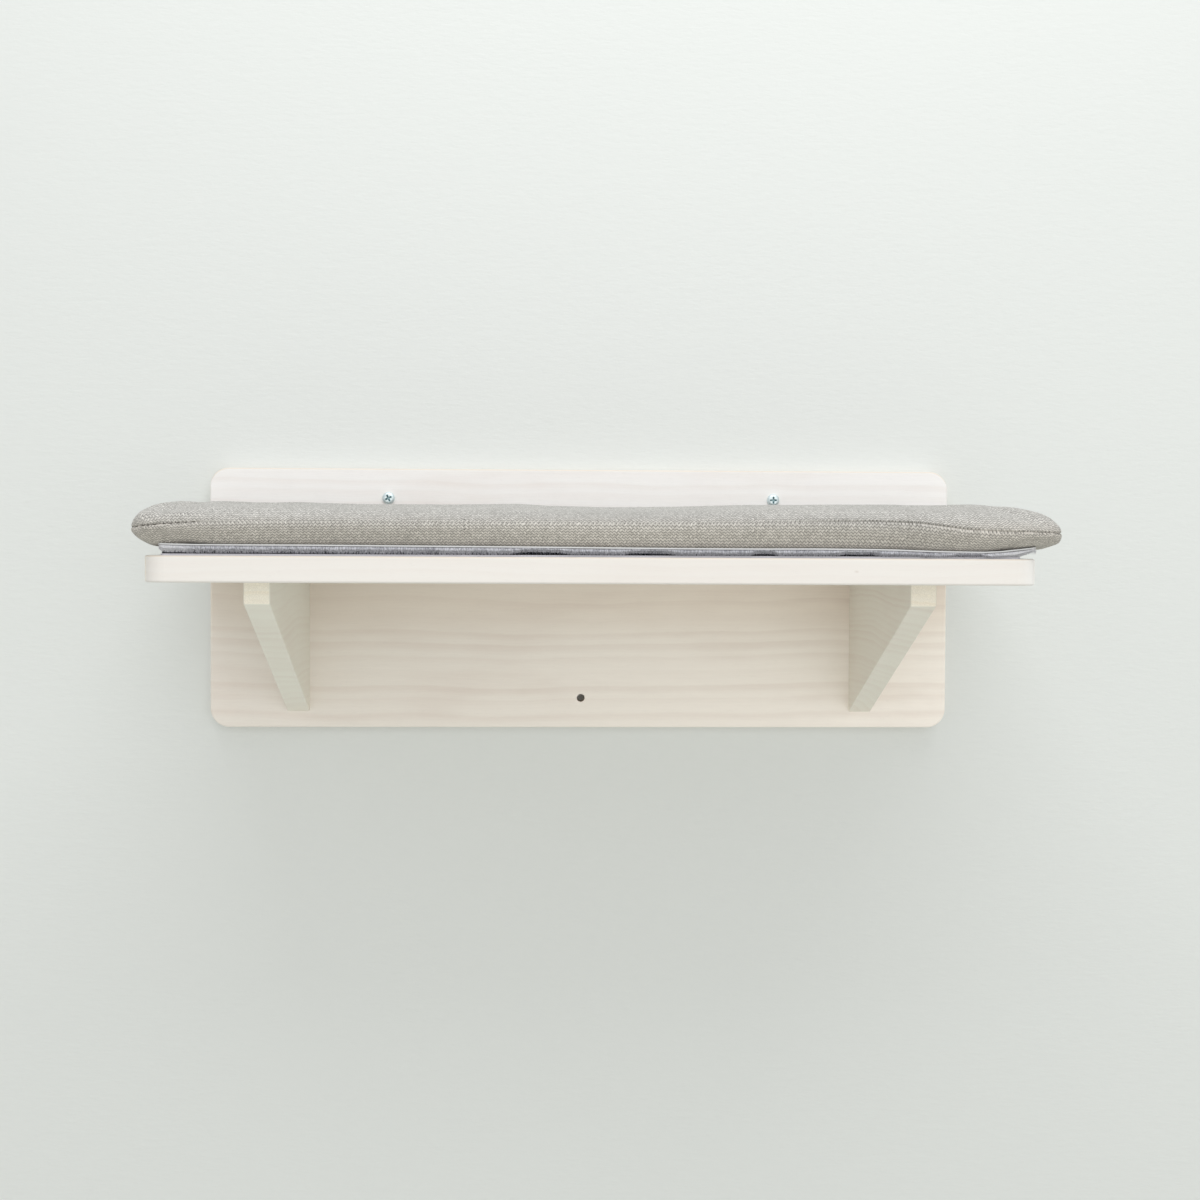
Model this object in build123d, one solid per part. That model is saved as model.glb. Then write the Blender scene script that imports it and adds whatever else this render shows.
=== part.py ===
from build123d import *
import math
import os

# Cat wall platform: a panel that is screwed to the wall, a shelf that stands out from it on two
# tapering brackets, and a cushion that two pairs of hook-and-loop tapes hold on the shelf.
# Lengths are in millimetres. The origin is the centre of the panel's back face, which lies on the
# wall: +X points right, +Z up, and the shelf stands out towards -Y.

# Boards, all planed from the same solid wood
board_thickness = 18.0
edge_round = 1.5

# Wall panel and shelf, both of the platform's full width
platform_width = 600.0
panel_height = 210.0
panel_corner_radius = 15.0
shelf_depth = 282.0
shelf_corner_radius = 15.0
shelf_drop = 69.0

# Brackets: their middle planes from the platform's ends, and what is left free round them
bracket_inset = 71.0
bracket_front_setback = 36.0
bracket_foot_clearance = 13.0
bracket_nose_height = 15.5
bracket_edge_round = 1.0

# Wall screws: pan heads, plain neck, then the thread's outer size
wall_screw_inset = 143.5
wall_screw_edge_distance = 24.0
wall_screw_length = 50.0
wall_screw_thread_diameter = 5.0
wall_screw_neck_diameter = 3.8
wall_screw_neck_length = 20.0
wall_screw_tip_length = 4.0
wall_screw_head_diameter = 10.0
wall_screw_head_height = 3.0
wall_screw_head_rim = 1.2
wall_screw_head_flat_diameter = 6.6
wall_screw_recess_span = 6.0
wall_screw_recess_width = 1.3
wall_screw_recess_depth = 2.0
left_recess_turn = 26.0
right_recess_turn = 0.0
wall_hole_diameter = 6.5

# Wood screws: cylinder heads with a hexagon socket, sunk in the panel's back and the shelf's top
wood_screw_diameter = 4.5
wood_screw_head_diameter = 8.5
wood_screw_head_height = 3.0
wood_screw_head_sink = 0.6
wood_screw_socket_width = 3.0
wood_screw_socket_depth = 2.0
wood_screw_gap = 0.05
rear_screw_length = 50.0
top_screw_length = 32.0
shelf_screw_inset = 130.0
bracket_rear_screw_shares = {"upper": 0.25, "lower": 0.69}
bracket_top_screw_shares = {"rear": 0.24, "front": 0.71}

# Dowels between the panel and the shelf's rear edge
dowel_diameter = 8.0
dowel_length = 30.0
dowel_depth_in_panel = 12.0
dowel_gap = 0.05
dowel_inset = 215.0

# Hook tapes on the shelf, loop tapes under the cushion
tape_width = 25.0
hook_tape_end_gap = 12.0
hook_tape_thickness = 2.0
loop_tape_end_gap = 18.0
loop_tape_thickness = 4.0
front_tape_setback = 3.0
rear_tape_setback = 22.0

# Cushion, a little larger than the shelf and laid a little to the right of its middle
cushion_end_overhang = 12.0
cushion_front_overhang = 7.0
cushion_rear_gap = 6.0
cushion_shift = 4.5
cushion_height = 30.0
cushion_seam_height = 14.0
cover_thickness = 1.2
corner_round = 12.0
side_draw = 5.0
crown_run = 60.0
crown_steps = 5
belly_run = 36.0
belly_steps = 4
filling_steps = 3
lean_power = 1.5
rise_power = 0.85

# Places that the sizes above give
panel_front = -board_thickness
panel_top = panel_height / 2
shelf_top = panel_top - shelf_drop
shelf_bottom = shelf_top - board_thickness
shelf_middle = shelf_bottom + board_thickness / 2
shelf_front = panel_front - shelf_depth
bracket_spacing = platform_width - 2 * bracket_inset
bracket_depth = shelf_depth - bracket_front_setback
bracket_wall_height = shelf_bottom + panel_top - bracket_foot_clearance
wall_screw_spacing = platform_width - 2 * wall_screw_inset
wall_screw_height = panel_top - wall_screw_edge_distance
lower_hole_height = -panel_top + wall_screw_edge_distance
shelf_screw_pitch = platform_width / 2 - shelf_screw_inset
dowel_spacing = platform_width - 2 * dowel_inset
seat_top = shelf_top + hook_tape_thickness + loop_tape_thickness
cushion_length = platform_width + 2 * cushion_end_overhang
cushion_depth = shelf_depth - cushion_rear_gap + cushion_front_overhang
cushion_middle = panel_front - cushion_rear_gap - cushion_depth / 2
seam_level = seat_top + cushion_seam_height
hook_tape_length = platform_width - 2 * hook_tape_end_gap
loop_tape_length = cushion_length - 2 * loop_tape_end_gap

os.makedirs("parts", exist_ok=True)


def save(shape, name):
    shape.label = name
    export_step(shape, f"parts/{name}.step")


# Screws and dowels
# Each is drawn along Z with its head's seat, its head's face or its end at the origin, and then
# laid in place.


hanging = (Align.CENTER, Align.CENTER, Align.MAX)
standing = (Align.CENTER, Align.CENTER, Align.MIN)


def cross_recess(span, width, depth):
    slot = Box(span, width, depth, align=hanging)
    return slot + Rot(0, 0, 90) * slot


def pan_screw():
    """Wall screw: pan head standing on Z 0, neck, thread envelope and point below it."""
    flat = wall_screw_head_flat_diameter / 2
    head = wall_screw_head_diameter / 2
    neck = wall_screw_neck_diameter / 2
    thread = wall_screw_thread_diameter / 2
    half_profile = Polyline(
        (0, wall_screw_head_height),
        (flat, wall_screw_head_height),
        (head, wall_screw_head_rim),
        (head, 0),
        (neck, 0),
        (neck, -wall_screw_neck_length),
        (thread, -wall_screw_neck_length),
        (thread, -wall_screw_length + wall_screw_tip_length),
        (0, -wall_screw_length),
        close=True,
    )
    body = revolve(Plane.XZ * make_face(half_profile), Axis.Z)
    recess = cross_recess(
        wall_screw_recess_span, wall_screw_recess_width, wall_screw_recess_depth
    )
    return body - Pos(0, 0, wall_screw_head_height) * recess


def wood_screw_envelope(length, gap):
    """Cylinder head and shank below Z 0, grown by a gap: the screw's form, or its hole's."""
    head = Cylinder(
        wood_screw_head_diameter / 2 + gap, wood_screw_head_height + gap, align=hanging
    )
    return head + Cylinder(wood_screw_diameter / 2 + gap, length + gap, align=hanging)


def wood_screw(length):
    hexagon = RegularPolygon(wood_screw_socket_width / 2, 6, major_radius=False)
    return wood_screw_envelope(length, 0) - extrude(hexagon, -wood_screw_socket_depth)


def wood_screw_hole(length):
    """The screw's hole, open above its head up to the board's face."""
    mouth = Cylinder(
        wood_screw_head_diameter / 2 + wood_screw_gap, wood_screw_head_sink, align=standing
    )
    return wood_screw_envelope(length, wood_screw_gap) + mouth


def dowel(gap):
    """Dowel along Z from its end in the panel, at Z 0, or its hole, grown by a gap."""
    pin = Cylinder(dowel_diameter / 2 + gap, dowel_length + 2 * gap, align=standing)
    return Pos(0, 0, -gap) * pin


# A rear screw has its head in the panel's back and runs forwards, so -Z turns to -Y.
forwards = Rot(-90, 0, 0)
# A wall screw runs backwards into the wall, so -Z turns to +Y.
backwards = Rot(90, 0, 0)

sides = {"left": -1, "right": 1}
bracket_centre = {side: sign * bracket_spacing / 2 for side, sign in sides.items()}

# Where every wood screw's head face lies, and which way it runs
rear_screw_places = {}
for number, step in enumerate((-1, 0, 1), start=1):
    place = Pos(step * shelf_screw_pitch, -wood_screw_head_sink, shelf_middle)
    rear_screw_places[f"shelf_screw_{number}"] = place * forwards
for side, centre in bracket_centre.items():
    for level, share in bracket_rear_screw_shares.items():
        height = shelf_bottom - share * bracket_wall_height
        place = Pos(centre, -wood_screw_head_sink, height)
        rear_screw_places[f"{side}_bracket_{level}_screw"] = place * forwards

top_screw_places = {}
for side, centre in bracket_centre.items():
    for end, share in bracket_top_screw_shares.items():
        reach = share * bracket_depth
        place = Pos(centre, panel_front - reach, shelf_top - wood_screw_head_sink)
        top_screw_places[f"{side}_bracket_{end}_top_screw"] = place

dowel_places = {}
for side, sign in sides.items():
    start = Pos(sign * dowel_spacing / 2, panel_front + dowel_depth_in_panel, shelf_middle)
    dowel_places[f"{side}_shelf_dowel"] = start * backwards

rear_holes = [place * wood_screw_hole(rear_screw_length) for place in rear_screw_places.values()]
top_holes = [place * wood_screw_hole(top_screw_length) for place in top_screw_places.values()]
dowel_holes = [place * dowel(dowel_gap) for place in dowel_places.values()]

# Wall panel: edges eased on the front, square on the wall, three plain holes for wall screws


def wall_hole(x, z):
    hole = Cylinder(wall_hole_diameter / 2, 2 * board_thickness)
    return Pos(x, panel_front / 2, z) * backwards * hole


panel = extrude(
    Plane.XZ * RectangleRounded(platform_width, panel_height, panel_corner_radius),
    board_thickness,
)
panel = fillet(panel.faces().sort_by(Axis.Y)[0].edges(), edge_round)
for sign in sides.values():
    panel -= wall_hole(sign * wall_screw_spacing / 2, wall_screw_height)
panel -= wall_hole(0, lower_hole_height)
for hole in rear_holes + dowel_holes:
    panel -= hole
save(panel, "wall_panel")

# Shelf: rounded front corners, eased edges, square where it meets the panel
shelf = Pos(0, panel_front - shelf_depth / 2, shelf_middle) * Box(
    platform_width, shelf_depth, board_thickness
)
shelf = fillet(shelf.edges().filter_by(Axis.Z).group_by(Axis.Y)[0], shelf_corner_radius)
for end in (0, -1):
    outline = shelf.faces().sort_by(Axis.Z)[end].edges().sort_by(Axis.Y)
    shelf = fillet(outline[:-1], edge_round)
for hole in rear_holes + top_holes + dowel_holes:
    shelf -= hole
save(shelf, "shelf_board")

# Brackets: upright nose, slanting lower face, eased where they are free of the other boards
bracket_outline = Polyline(
    (panel_front, shelf_bottom),
    (panel_front - bracket_depth, shelf_bottom),
    (panel_front - bracket_depth, shelf_bottom - bracket_nose_height),
    (panel_front, shelf_bottom - bracket_wall_height),
    close=True,
)
blank = extrude(Plane.YZ * make_face(bracket_outline), board_thickness / 2, both=True)
free_edges = [
    edge
    for edge in blank.edges()
    if edge.center().Z < shelf_bottom - bracket_edge_round
    and edge.center().Y < panel_front - bracket_edge_round
]
blank = fillet(free_edges, bracket_edge_round)
for side, centre in bracket_centre.items():
    bracket = Pos(centre, 0, 0) * blank
    for hole in rear_holes + top_holes:
        bracket -= hole
    save(bracket, f"{side}_bracket")

# Fasteners
recess_turn = {"left": left_recess_turn, "right": right_recess_turn}
for side, sign in sides.items():
    head_seat = Pos(sign * wall_screw_spacing / 2, panel_front, wall_screw_height)
    save(head_seat * backwards * Rot(0, 0, recess_turn[side]) * pan_screw(), f"{side}_wall_screw")
for name, place in rear_screw_places.items():
    save(place * wood_screw(rear_screw_length), name)
for name, place in top_screw_places.items():
    save(place * wood_screw(top_screw_length), name)
for name, place in dowel_places.items():
    save(place * dowel(0), name)

# Tapes: the hook halves are stuck to the shelf, the loop halves are sewn under the cushion
tape_middles = {
    "front": shelf_front + front_tape_setback + tape_width / 2,
    "rear": panel_front - rear_tape_setback - tape_width / 2,
}
for end, middle in tape_middles.items():
    hook_tape = Box(hook_tape_length, tape_width, hook_tape_thickness, align=standing)
    save(Pos(0, middle, shelf_top) * hook_tape, f"{end}_hook_tape")
    loop_tape = Box(loop_tape_length, tape_width, loop_tape_thickness, align=standing)
    loop_place = Pos(cushion_shift, middle, shelf_top + hook_tape_thickness)
    save(loop_place * loop_tape, f"{end}_loop_tape")

# Cushion
# Two fabric panels meet in a seam round the middle of the thickness. Each is a loft through outlines
# that leave the seam steeply and then lean inwards over a long run, so the top has a low crown and
# the underside a flat belly. The sides are drawn in between the four corners, most at the seam.
# The filling has the same form, one fabric thickness further in.


def cushion_outline(inset, level, draw):
    """The cushion's outline at a height: four drawn-in sides and four rounded corners."""
    x = cushion_length / 2 - inset
    y = cushion_depth / 2 - inset
    r = corner_round
    near = r * (1 - math.sqrt(0.5))
    sides_and_corners = [
        ThreePointArc((-x + r, -y), (0, -y + draw), (x - r, -y)),
        ThreePointArc((x - r, -y), (x - near, -y + near), (x, -y + r)),
        ThreePointArc((x, -y + r), (x - draw, 0), (x, y - r)),
        ThreePointArc((x, y - r), (x - near, y - near), (x - r, y)),
        ThreePointArc((x - r, y), (0, y - draw), (-x + r, y)),
        ThreePointArc((-x + r, y), (-x + near, y - near), (-x, y - r)),
        ThreePointArc((-x, y - r), (-x + draw, 0), (-x, -y + r)),
        ThreePointArc((-x, -y + r), (-x + near, -y + near), (-x + r, -y)),
    ]
    return Pos(cushion_shift, cushion_middle, level) * make_face(sides_and_corners)


def cushion_half(height, run, steps, skin):
    """One half of the cushion from the seam up, or down if the height is negative."""
    outlines = []
    for step in range(steps + 1):
        turn = math.radians(90 * step / steps)
        inset = run * (1 - math.cos(turn)) ** lean_power + skin
        rise = math.sin(turn) ** rise_power * (height - math.copysign(skin, height))
        draw = side_draw * (1 - step / (steps + 1))
        outlines.append(cushion_outline(inset, seam_level + rise, draw))
    return loft(outlines, ruled=True)


def cushion_form(top_steps, under_steps, skin):
    """The whole cushion, or the filling one fabric thickness inside it, as two halves."""
    top = cushion_half(cushion_height - cushion_seam_height, crown_run, top_steps, skin)
    belly = cushion_half(-cushion_seam_height, belly_run, under_steps, skin)
    return top, belly


top_form, belly_form = cushion_form(crown_steps, belly_steps, 0)
top_core, belly_core = cushion_form(filling_steps, filling_steps, cover_thickness)
save(top_form - top_core, "cushion_top_cover")
save(belly_form - belly_core, "cushion_bottom_cover")
save(top_core + belly_core, "cushion_filling")
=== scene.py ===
# %% [markdown]
# # A cat wall platform, dressed for its picture
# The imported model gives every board, screw and tape at its real size. This script keeps those
# shapes as a fixed frame and adds what a maker would see on the bench: white-glazed wood with its
# grain, zinc screws with real threads, hook-and-loop tape with its pile, and a sewn cushion.
# Everything is in metres in the model's own frame: +X right, +Z up, and the shelf towards -Y.

# %% The frame
import math
import random

import bmesh
import bpy
import numpy as np
from mathutils import Matrix, Vector, noise
from mathutils.bvhtree import BVHTree


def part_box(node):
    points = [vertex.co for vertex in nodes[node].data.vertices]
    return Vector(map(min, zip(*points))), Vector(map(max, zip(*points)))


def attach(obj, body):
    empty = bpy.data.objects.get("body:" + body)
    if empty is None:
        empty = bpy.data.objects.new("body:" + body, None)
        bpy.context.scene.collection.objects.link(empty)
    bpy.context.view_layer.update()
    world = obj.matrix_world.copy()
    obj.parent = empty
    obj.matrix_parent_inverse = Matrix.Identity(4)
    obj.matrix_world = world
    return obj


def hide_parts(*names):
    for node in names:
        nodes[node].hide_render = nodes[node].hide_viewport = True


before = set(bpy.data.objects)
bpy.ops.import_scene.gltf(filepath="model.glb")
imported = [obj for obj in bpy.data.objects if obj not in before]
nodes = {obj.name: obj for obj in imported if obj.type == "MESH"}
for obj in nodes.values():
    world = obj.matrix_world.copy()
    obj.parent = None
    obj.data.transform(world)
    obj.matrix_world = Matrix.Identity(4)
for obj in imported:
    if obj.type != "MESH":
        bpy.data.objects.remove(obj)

scene = bpy.context.scene
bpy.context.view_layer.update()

# %% [markdown]
# ## Sizes that the pieces share
# Most sizes are read from the frame, so a piece always meets what carries it. Only what the
# frame can't say, such as a thread's pitch or a yarn's width, is named here or beside its piece.

# %% Sizes read from the frame
MM = 0.001
panel_low, panel_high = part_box("wall_panel")
cushion_low, cushion_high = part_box("cushion_bottom_cover")[0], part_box("cushion_top_cover")[1]
seam_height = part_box("cushion_bottom_cover")[1].z
panel_middle = (panel_low + panel_high) / 2
cushion_middle = (cushion_low + cushion_high) / 2
print("cushion, mm:", [round(1000 * v, 1) for v in cushion_high - cushion_low])
print("seam height, mm:", round(1000 * seam_height, 1))

# %% [markdown]
# ## The camera
# The photograph was taken with a lens of about 57 mm, 1.3 m in front of the shelf, a little to
# the left of the middle and just above the shelf's top face. The lines that run back to the wall
# meet at that height. A camera can be aimed with a constraint or with angles. Here its three axes
# are written out, because yaw, pitch and roll are then plain sizes that can be read and changed.

# %% Camera
camera_place = Vector((-49.1, -1570.7, 45.4)) * MM
camera_yaw, camera_pitch, camera_roll = (math.radians(a) for a in (2.377, -1.709, 0.269))
camera_lens = 57.2

forward = Vector((
    math.sin(camera_yaw) * math.cos(camera_pitch),
    math.cos(camera_yaw) * math.cos(camera_pitch),
    math.sin(camera_pitch),
))
level_right = Vector((math.cos(camera_yaw), -math.sin(camera_yaw), 0))
level_up = level_right.cross(forward)
right = math.cos(camera_roll) * level_right + math.sin(camera_roll) * level_up
up = math.cos(camera_roll) * level_up - math.sin(camera_roll) * level_right

camera = bpy.data.objects.new("camera", bpy.data.cameras.new("camera"))
scene.collection.objects.link(camera)
camera_axes = Matrix((right, up, -forward)).transposed().to_4x4()
camera.matrix_world = Matrix.Translation(camera_place) @ camera_axes
camera.data.lens = camera_lens
camera.data.clip_start = 0.01
camera.data.clip_end = 50
scene.camera = camera
scene.view_settings.view_transform = "Standard"
print("camera, mm:", [round(1000 * v) for v in camera.location])

# %% [markdown]
# ## Shader arithmetic
# A procedural material is a long sum, and wiring it by hand hides the idea. The small class
# `Wire` wraps one socket, so that `a * 2 + b` adds the Math nodes by itself. A `Finish` holds one
# material and adds every other kind of node through one method.

# %% A wire and a finish
class Wire:
    """One output of a material's node tree, with ordinary arithmetic."""

    def __init__(self, finish, socket):
        self.finish = finish
        self.socket = socket

    def math(self, operation, *others):
        return self.finish.node("ShaderNodeMath", [self, *others], operation=operation)

    def __add__(self, other):
        return self.math("ADD", other)

    __radd__ = __add__

    def __sub__(self, other):
        return self.math("SUBTRACT", other)

    def __rsub__(self, other):
        return self.finish.node("ShaderNodeMath", [other, self], operation="SUBTRACT")

    def __mul__(self, other):
        return self.math("MULTIPLY", other)

    __rmul__ = __mul__

    def __truediv__(self, other):
        return self.math("DIVIDE", other)

    def __pow__(self, other):
        return self.math("POWER", other)

    def __abs__(self):
        return self.math("ABSOLUTE")

    def floor(self):
        return self.math("FLOOR")

    def fraction(self):
        return self.math("FRACT")

    def cosine(self):
        return self.math("COSINE")

    def root(self):
        return self.math("SQRT")

    def least(self, other):
        return self.math("MINIMUM", other)

    def most(self, other):
        return self.math("MAXIMUM", other)

    def step(self, start, end):
        """0 below start, 1 above end, and a smooth rise between them."""
        return self.finish.node(
            "ShaderNodeMapRange", [self, start, end], interpolation_type="SMOOTHSTEP"
        )


class Finish:
    """One material: its node tree and the few ways in which this script adds to it."""

    def __init__(self, name):
        self.material = bpy.data.materials.new(name)
        self.material.use_nodes = True
        self.tree = self.material.node_tree
        self.tree.nodes.clear()

    def node(self, kind, inputs=(), out=0, **settings):
        made = self.tree.nodes.new(kind)
        for key, value in settings.items():
            if key == "stops":
                self.set_stops(made.color_ramp.elements, value)
            else:
                setattr(made, key, value)
        for key, value in inputs.items() if isinstance(inputs, dict) else enumerate(inputs):
            socket = made.inputs[key]
            if isinstance(value, Wire):
                self.tree.links.new(value.socket, socket)
            elif socket.type == "RGBA":
                socket.default_value = (*value[:3], 1)
            else:
                socket.default_value = value
        return Wire(self, made.outputs[out]) if made.outputs else None

    @staticmethod
    def set_stops(elements, stops):
        while len(elements) < len(stops):
            elements.new(1)
        for element, (place, colour) in zip(elements, stops):
            element.position = place
            element.color = (*colour, 1)

    def place(self, source="Object"):
        """The x, y and z of the piece in metres, or of its UV map."""
        coordinates = self.node("ShaderNodeTexCoord", out=source)
        return [self.node("ShaderNodeSeparateXYZ", [coordinates], out=axis) for axis in "XYZ"]

    def point(self, x=0.0, y=0.0, z=0.0):
        return self.node("ShaderNodeCombineXYZ", [x, y, z])

    def noise(self, point, scale=1.0, detail=2.0, roughness=0.5):
        inputs = {"Vector": point, "Scale": scale, "Detail": detail, "Roughness": roughness}
        return self.node("ShaderNodeTexNoise", inputs)

    def speckle(self, point):
        """A steady random number from 0 to 1 for each whole point."""
        return self.node("ShaderNodeTexWhiteNoise", {"Vector": point}, noise_dimensions="3D")

    def blend(self, share, first, second):
        """A colour between two colours."""
        inputs = {0: share, 6: first, 7: second}
        return self.node("ShaderNodeMix", inputs, out=2, data_type="RGBA")

    def shade(self, colour, amount):
        """A colour made lighter or darker by a number."""
        return self.node("ShaderNodeVectorMath", {0: colour, 3: amount}, operation="SCALE")

    def bump(self, height, distance, strength=1.0):
        inputs = {"Strength": strength, "Distance": distance, "Height": height}
        return self.node("ShaderNodeBump", inputs)

    def surface(self, **inputs):
        """Ends the finish with a Principled surface. Its names are written with underscores."""
        named = {key.replace("_", " "): value for key, value in inputs.items()}
        shader = self.node("ShaderNodeBsdfPrincipled", named)
        self.node("ShaderNodeOutputMaterial", [shader])
        return self.material


def paint(piece, material):
    piece.data.materials.clear()
    piece.data.materials.append(material)


# %% [markdown]
# ## The room
# The platform hangs on a plain pale wall, so the backdrop is an upright wall with a floor far
# below it. The wall is open behind the panel, with an opening a hair smaller than the panel's
# outline, and it lets the camera look through from behind: the same scene then also serves for
# pictures of the back. Its light stays the same, because only camera rays pass.

# %% Wall and floor
WALL_COLOUR = (0.735, 0.755, 0.734)
FLOOR_COLOUR = (0.73, 0.745, 0.70)
wall_gap = 0.5 * MM
wall_reach, wall_spread = 3.0, (6.0, 15.0)
floor_depth = 1.15
hole_margin, hole_corner = 0.6 * MM, 15.0 * MM
bore_patch, bore_rise = 9.0 * MM, 24.0 * MM


def take(piece):
    """Makes one piece the only selected and the active one."""
    bpy.ops.object.select_all(action="DESELECT")
    piece.select_set(True)
    bpy.context.view_layer.objects.active = piece


def apply_place(piece):
    """Puts a piece's place into its mesh, so that its object lies at the origin."""
    take(piece)
    bpy.ops.object.transform_apply(location=True, rotation=True, scale=True)


def one_sided(name, colour, grain):
    """A painted surface that camera rays pass from behind, with a faint roller texture."""
    finish = Finish(name)
    x, y, z = finish.place()
    texture = finish.noise(finish.point(x * 0.3, y, z), grain, 4.0, 0.65)
    patches = finish.noise(finish.point(x, y, z), 1.3, 1.0)
    tone = finish.shade(colour, 0.97 + 0.05 * patches + 0.012 * (texture - 0.5))
    paint_shader = finish.node(
        "ShaderNodeBsdfPrincipled",
        {"Base Color": tone, "Roughness": 0.85, "Normal": finish.bump(texture, 0.0006, 0.5)},
    )
    clear = finish.node("ShaderNodeBsdfTransparent")
    behind = finish.node("ShaderNodeNewGeometry", out="Backfacing")
    looked_at = finish.node("ShaderNodeLightPath", out="Is Camera Ray")
    mixed = finish.node("ShaderNodeMixShader", [behind * looked_at, paint_shader, clear])
    finish.node("ShaderNodeOutputMaterial", [mixed])
    return finish.material


bpy.ops.mesh.primitive_plane_add(
    size=1, location=(0, wall_gap, panel_middle.z), rotation=(math.pi / 2, 0, 0)
)
wall = bpy.context.object
wall.name = "backdrop_wall"
wall.scale = (
    panel_high.x - panel_low.x - 2 * hole_margin,
    panel_high.z - panel_low.z - 2 * hole_margin,
    1,
)
apply_place(wall)
bpy.ops.object.mode_set(mode="EDIT")
bpy.ops.mesh.select_mode(type="VERT")
bpy.ops.mesh.select_all(action="SELECT")
bpy.ops.mesh.bevel(offset=hole_corner, segments=8, affect="VERTICES")
bpy.ops.mesh.select_mode(type="EDGE")
bpy.ops.mesh.select_all(action="SELECT")
bpy.ops.mesh.delete(type="ONLY_FACE")
bpy.ops.mesh.select_all(action="SELECT")
bpy.ops.mesh.extrude_region_move()
bpy.ops.transform.resize(value=(wall_spread[0], 1, wall_spread[1]))
bpy.ops.mesh.select_all(action="SELECT")
bpy.ops.mesh.normals_make_consistent(inside=False)
bpy.ops.object.mode_set(mode="OBJECT")
bpy.ops.mesh.primitive_circle_add(
    vertices=24, radius=bore_patch, fill_type="NGON",
    location=(panel_middle.x, wall_gap, panel_low.z + bore_rise), rotation=(math.pi / 2, 0, 0),
)
patch = bpy.context.object
apply_place(patch)
take(wall)
patch.select_set(True)
bpy.ops.object.join()
for face in wall.data.polygons:
    if face.normal.y > 0:
        face.flip()
paint(wall, one_sided("wall_paint", WALL_COLOUR, 240.0))

bpy.ops.mesh.primitive_plane_add(size=2 * wall_reach, location=(0, 0, -floor_depth))
floor = bpy.context.object
floor.name = "backdrop_floor"
apply_place(floor)
paint(floor, one_sided("floor_paint", FLOOR_COLOUR, 60.0))
print("wall opening:", len(wall.data.polygons), "faces round it")

# %% [markdown]
# ## The light
# The photograph has very even light: a pale room all round, a little more from the front and
# above, and a little more from the right. An even white sky does the first. A far, wide lamp in
# front and a softbox above do the second, and they are so wide that the shadow under the shelf
# fades over a hand's width instead of ending in a line.

# %% Lamps and sky
SKY_COLOUR = (1.0, 1.0, 1.0)
sky_strength = 0.74
backdrop_tone = (0.78, 0.80, 0.77)


def area_lamp(name, place, target, width, depth, watts, colour=(1, 1, 1)):
    lamp = bpy.data.objects.new(name, bpy.data.lights.new(name, "AREA"))
    scene.collection.objects.link(lamp)
    lamp.data.shape = "RECTANGLE"
    lamp.data.size = width
    lamp.data.size_y = depth
    lamp.data.energy = watts
    lamp.data.color = colour
    lamp.location = place
    lamp.rotation_euler = (Vector(target) - Vector(place)).to_track_quat("-Z", "Y").to_euler()


area_lamp("window_front", (0.75, -4.2, 0.5), (0, -0.1, 0.0), 2.6, 2.6, 31.0, (1, 0.995, 0.98))
area_lamp("softbox_above", (0.12, -1.0, 1.4), (0, -0.1, 0.0), 1.5, 0.8, 11.5, (0.97, 0.99, 1))

sky = bpy.data.worlds.new("pale_sky")
scene.world = sky
sky.use_nodes = True
sky_tree = sky.node_tree
sky_tree.nodes.clear()
seen = sky_tree.nodes.new("ShaderNodeBackground")
seen.inputs["Color"].default_value = (*backdrop_tone, 1)
lighting = sky_tree.nodes.new("ShaderNodeBackground")
lighting.inputs["Color"].default_value = (*SKY_COLOUR, 1)
lighting.inputs["Strength"].default_value = sky_strength
looked = sky_tree.nodes.new("ShaderNodeLightPath")
chooser = sky_tree.nodes.new("ShaderNodeMixShader")
sky_out = sky_tree.nodes.new("ShaderNodeOutputWorld")
sky_tree.links.new(looked.outputs["Is Camera Ray"], chooser.inputs[0])
sky_tree.links.new(lighting.outputs[0], chooser.inputs[1])
sky_tree.links.new(seen.outputs[0], chooser.inputs[2])
sky_tree.links.new(chooser.outputs[0], sky_out.inputs[0])

# %% [markdown]
# ## White-glazed wood
# The boards are solid wood under a thin white glaze: cream, with faint rosy growth rings, and a
# porous sandy end grain where a saw cut across the fibres. A flat picture of grain would break at
# every edge. Here each board is cut from its own log instead: the finish measures how far a point
# lies from the log's heart and turns that distance into rings. Faces, edges and end grain then
# agree by themselves, and where the heart runs slightly aslant the rings open into tall arches.

# %% Glazed wood
# The panel's glazes paint its light: whiter top light, warm bounce below the shelf, shade near it
PANEL_GLAZE = (0.905, 0.889, 0.872)
PANEL_LOW, PANEL_SHADED = (0.925, 0.868, 0.795), (0.875, 0.795, 0.70)
SHELF_GLAZE = (0.81, 0.778, 0.735)
# The right bracket's glaze is a darker copy: painted shade on its side away from the light
BRACKET_GLAZE, RIGHT_BRACKET_SHADED_GLAZE = (0.85, 0.825, 0.735), (0.842, 0.805, 0.713)
RING_ROSE = (0.66, 0.535, 0.46)
END_SAND = (0.78, 0.70, 0.56)
# Painted shade on upward-facing edge roundings, against the light from above
ARRIS_SHADE = (0.74, 0.66, 0.56)
# Painted highlight round the shelf's right end, for light that comes from the right
RIGHT_END_HIGHLIGHT = (0.94, 0.925, 0.895)
KNOT_BROWN = (0.50, 0.41, 0.33)


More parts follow.
